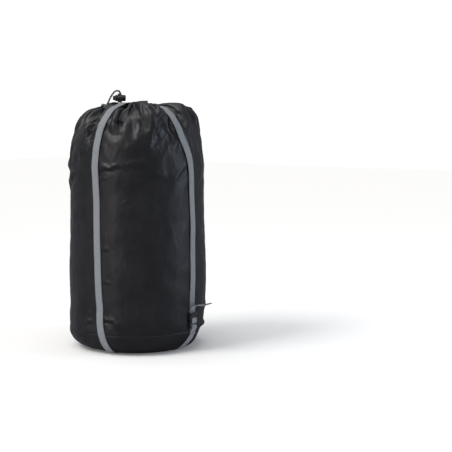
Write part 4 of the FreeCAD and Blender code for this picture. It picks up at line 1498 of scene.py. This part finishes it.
def hem_stitching(name):
    """Two rows across the hem of a loose tail."""
    end, before = np.array(TAIL_CURVE[-1]), np.array(TAIL_CURVE[-2])
    way = (end - before) / np.linalg.norm(end - before)
    up, wide = np.array([-way[1], way[0]]), WEBBING_WIDTH / 2 - 0.002
    rows = []
    for back in (0.0035, 0.0085):
        spot = end - way * back
        for drop_by, facing in ((DRAWN_THICKNESS / 2, -1), (-DRAWN_THICKNESS / 2 - 0.00156, 1)):
            r, z = spot - up * drop_by
            ends = [(r, side, z) for side in (-wide, wide)]
            normal = [(facing * up[0], 0, facing * up[1])] * 2
            rows.append([on_strap(values, name) for values in (ends, normal)])
    made = stitching(f"{name}_hem_stitching", rows, pitch=0.0022, length=0.0017)
    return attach(made, f"{name}_lock")


for strap in LOCKED_STRAPS:
    hem_stitching(strap)


def patch():
    """The round reinforcing patch under the base, with a turned edge."""
    outline = [(0.0006, 0.0), (PATCH_RADIUS * 0.5, 0.0), (PATCH_RADIUS - 0.0022, 0.0),
               (PATCH_RADIUS - 0.0006, 0.0003), (PATCH_RADIUS, 0.0009),
               (PATCH_RADIUS - 0.0002, BASE_UNDERSIDE), (0.0006, BASE_UNDERSIDE)]
    sides = 120
    verts = [polar(r, a, z) for r, z in outline for a in round_turns(sides)]
    faces = turned_faces(len(outline), sides)
    made = piece("base_patch_disc", verts, faces, "patch_fabric",
                 [verts[i][:2] for f in faces for i in f])
    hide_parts("base_patch")
    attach(made, "base")


patch()

# --- floor, light and view ---

def choose(tree, answer, other, chosen, output):
    """Show one shader or the other by what kind of ray asks."""
    mix = tree.nodes.new("ShaderNodeMixShader")
    path = tree.nodes.new("ShaderNodeLightPath")
    for start, end in ((path.outputs[answer], mix.inputs["Fac"]),
                       (other.outputs[0], mix.inputs[1]), (chosen.outputs[0], mix.inputs[2]),
                       (mix.outputs[0], tree.nodes[output].inputs["Surface"])):
        tree.links.new(start, end)


def floor():
    """A plain pale floor that glossy rays see darker."""
    mesh = bpy.data.meshes.new("floor")
    mesh.from_pydata([(-6, -6, 0), (6, -6, 0), (6, 6, 0), (-6, 6, 0)], [], [(0, 1, 2, 3)])
    pale = Nodes("pale_floor", (0.93, 0.93, 0.93), 0.9, 0.1)
    pale.shader.inputs["Emission Color"].default_value = WHITE
    pale.shader.inputs["Emission Strength"].default_value = 0.09
    dim = pale.node("ShaderNodeBsdfDiffuse")
    dim.inputs["Color"].default_value = (0.2, 0.2, 0.21, 1)
    choose(pale.tree, "Is Glossy Ray", pale.shader, dim, "Material Output")
    mesh.materials.append(pale.material)
    add("floor", mesh)


def studio():
    """Soft light from a pale room, two upright panels and two wide suns."""
    world = bpy.data.worlds.new("studio")
    world.use_nodes = True
    sky = world.node_tree.nodes["Background"]
    seen = world.node_tree.nodes.new("ShaderNodeBackground")
    for background, strength in ((sky, 0.23), (seen, 1.05)):
        background.inputs["Color"].default_value = WHITE
        background.inputs["Strength"].default_value = strength
    choose(world.node_tree, "Is Camera Ray", sky, seen, "World Output")
    bpy.context.scene.world = world
    for name, place, height, power, colour in (
            ("left", (-0.5, -2.3, 0.8), 0.22, 9, (1, 0.97, 0.95)),
            ("right", (1.9, 1.0, 0.8), 0.25, 12, (0.72, 0.83, 1))):
        data = bpy.data.lights.new(name, "AREA")
        data.shape, data.size, data.size_y = "RECTANGLE", 0.6, 1.6
        data.energy, data.color = power, colour
        aim(add(name, data), place, (0, 0, height))
    for name, energy, spread, slope, colour in (
            ("overhead", 1.45, 75, (10, -10), (1, 1, 1)),
            ("key", 1.25, 26, (36, -22), (1, 0.98, 0.95))):
        data = bpy.data.lights.new(name, "SUN")
        data.energy, data.angle, data.color = energy, radians(spread), colour
        add(name, data).rotation_euler = (radians(slope[0]), radians(slope[1]), 0)
    bpy.context.scene.view_settings.view_transform = "Standard"


floor()
studio()
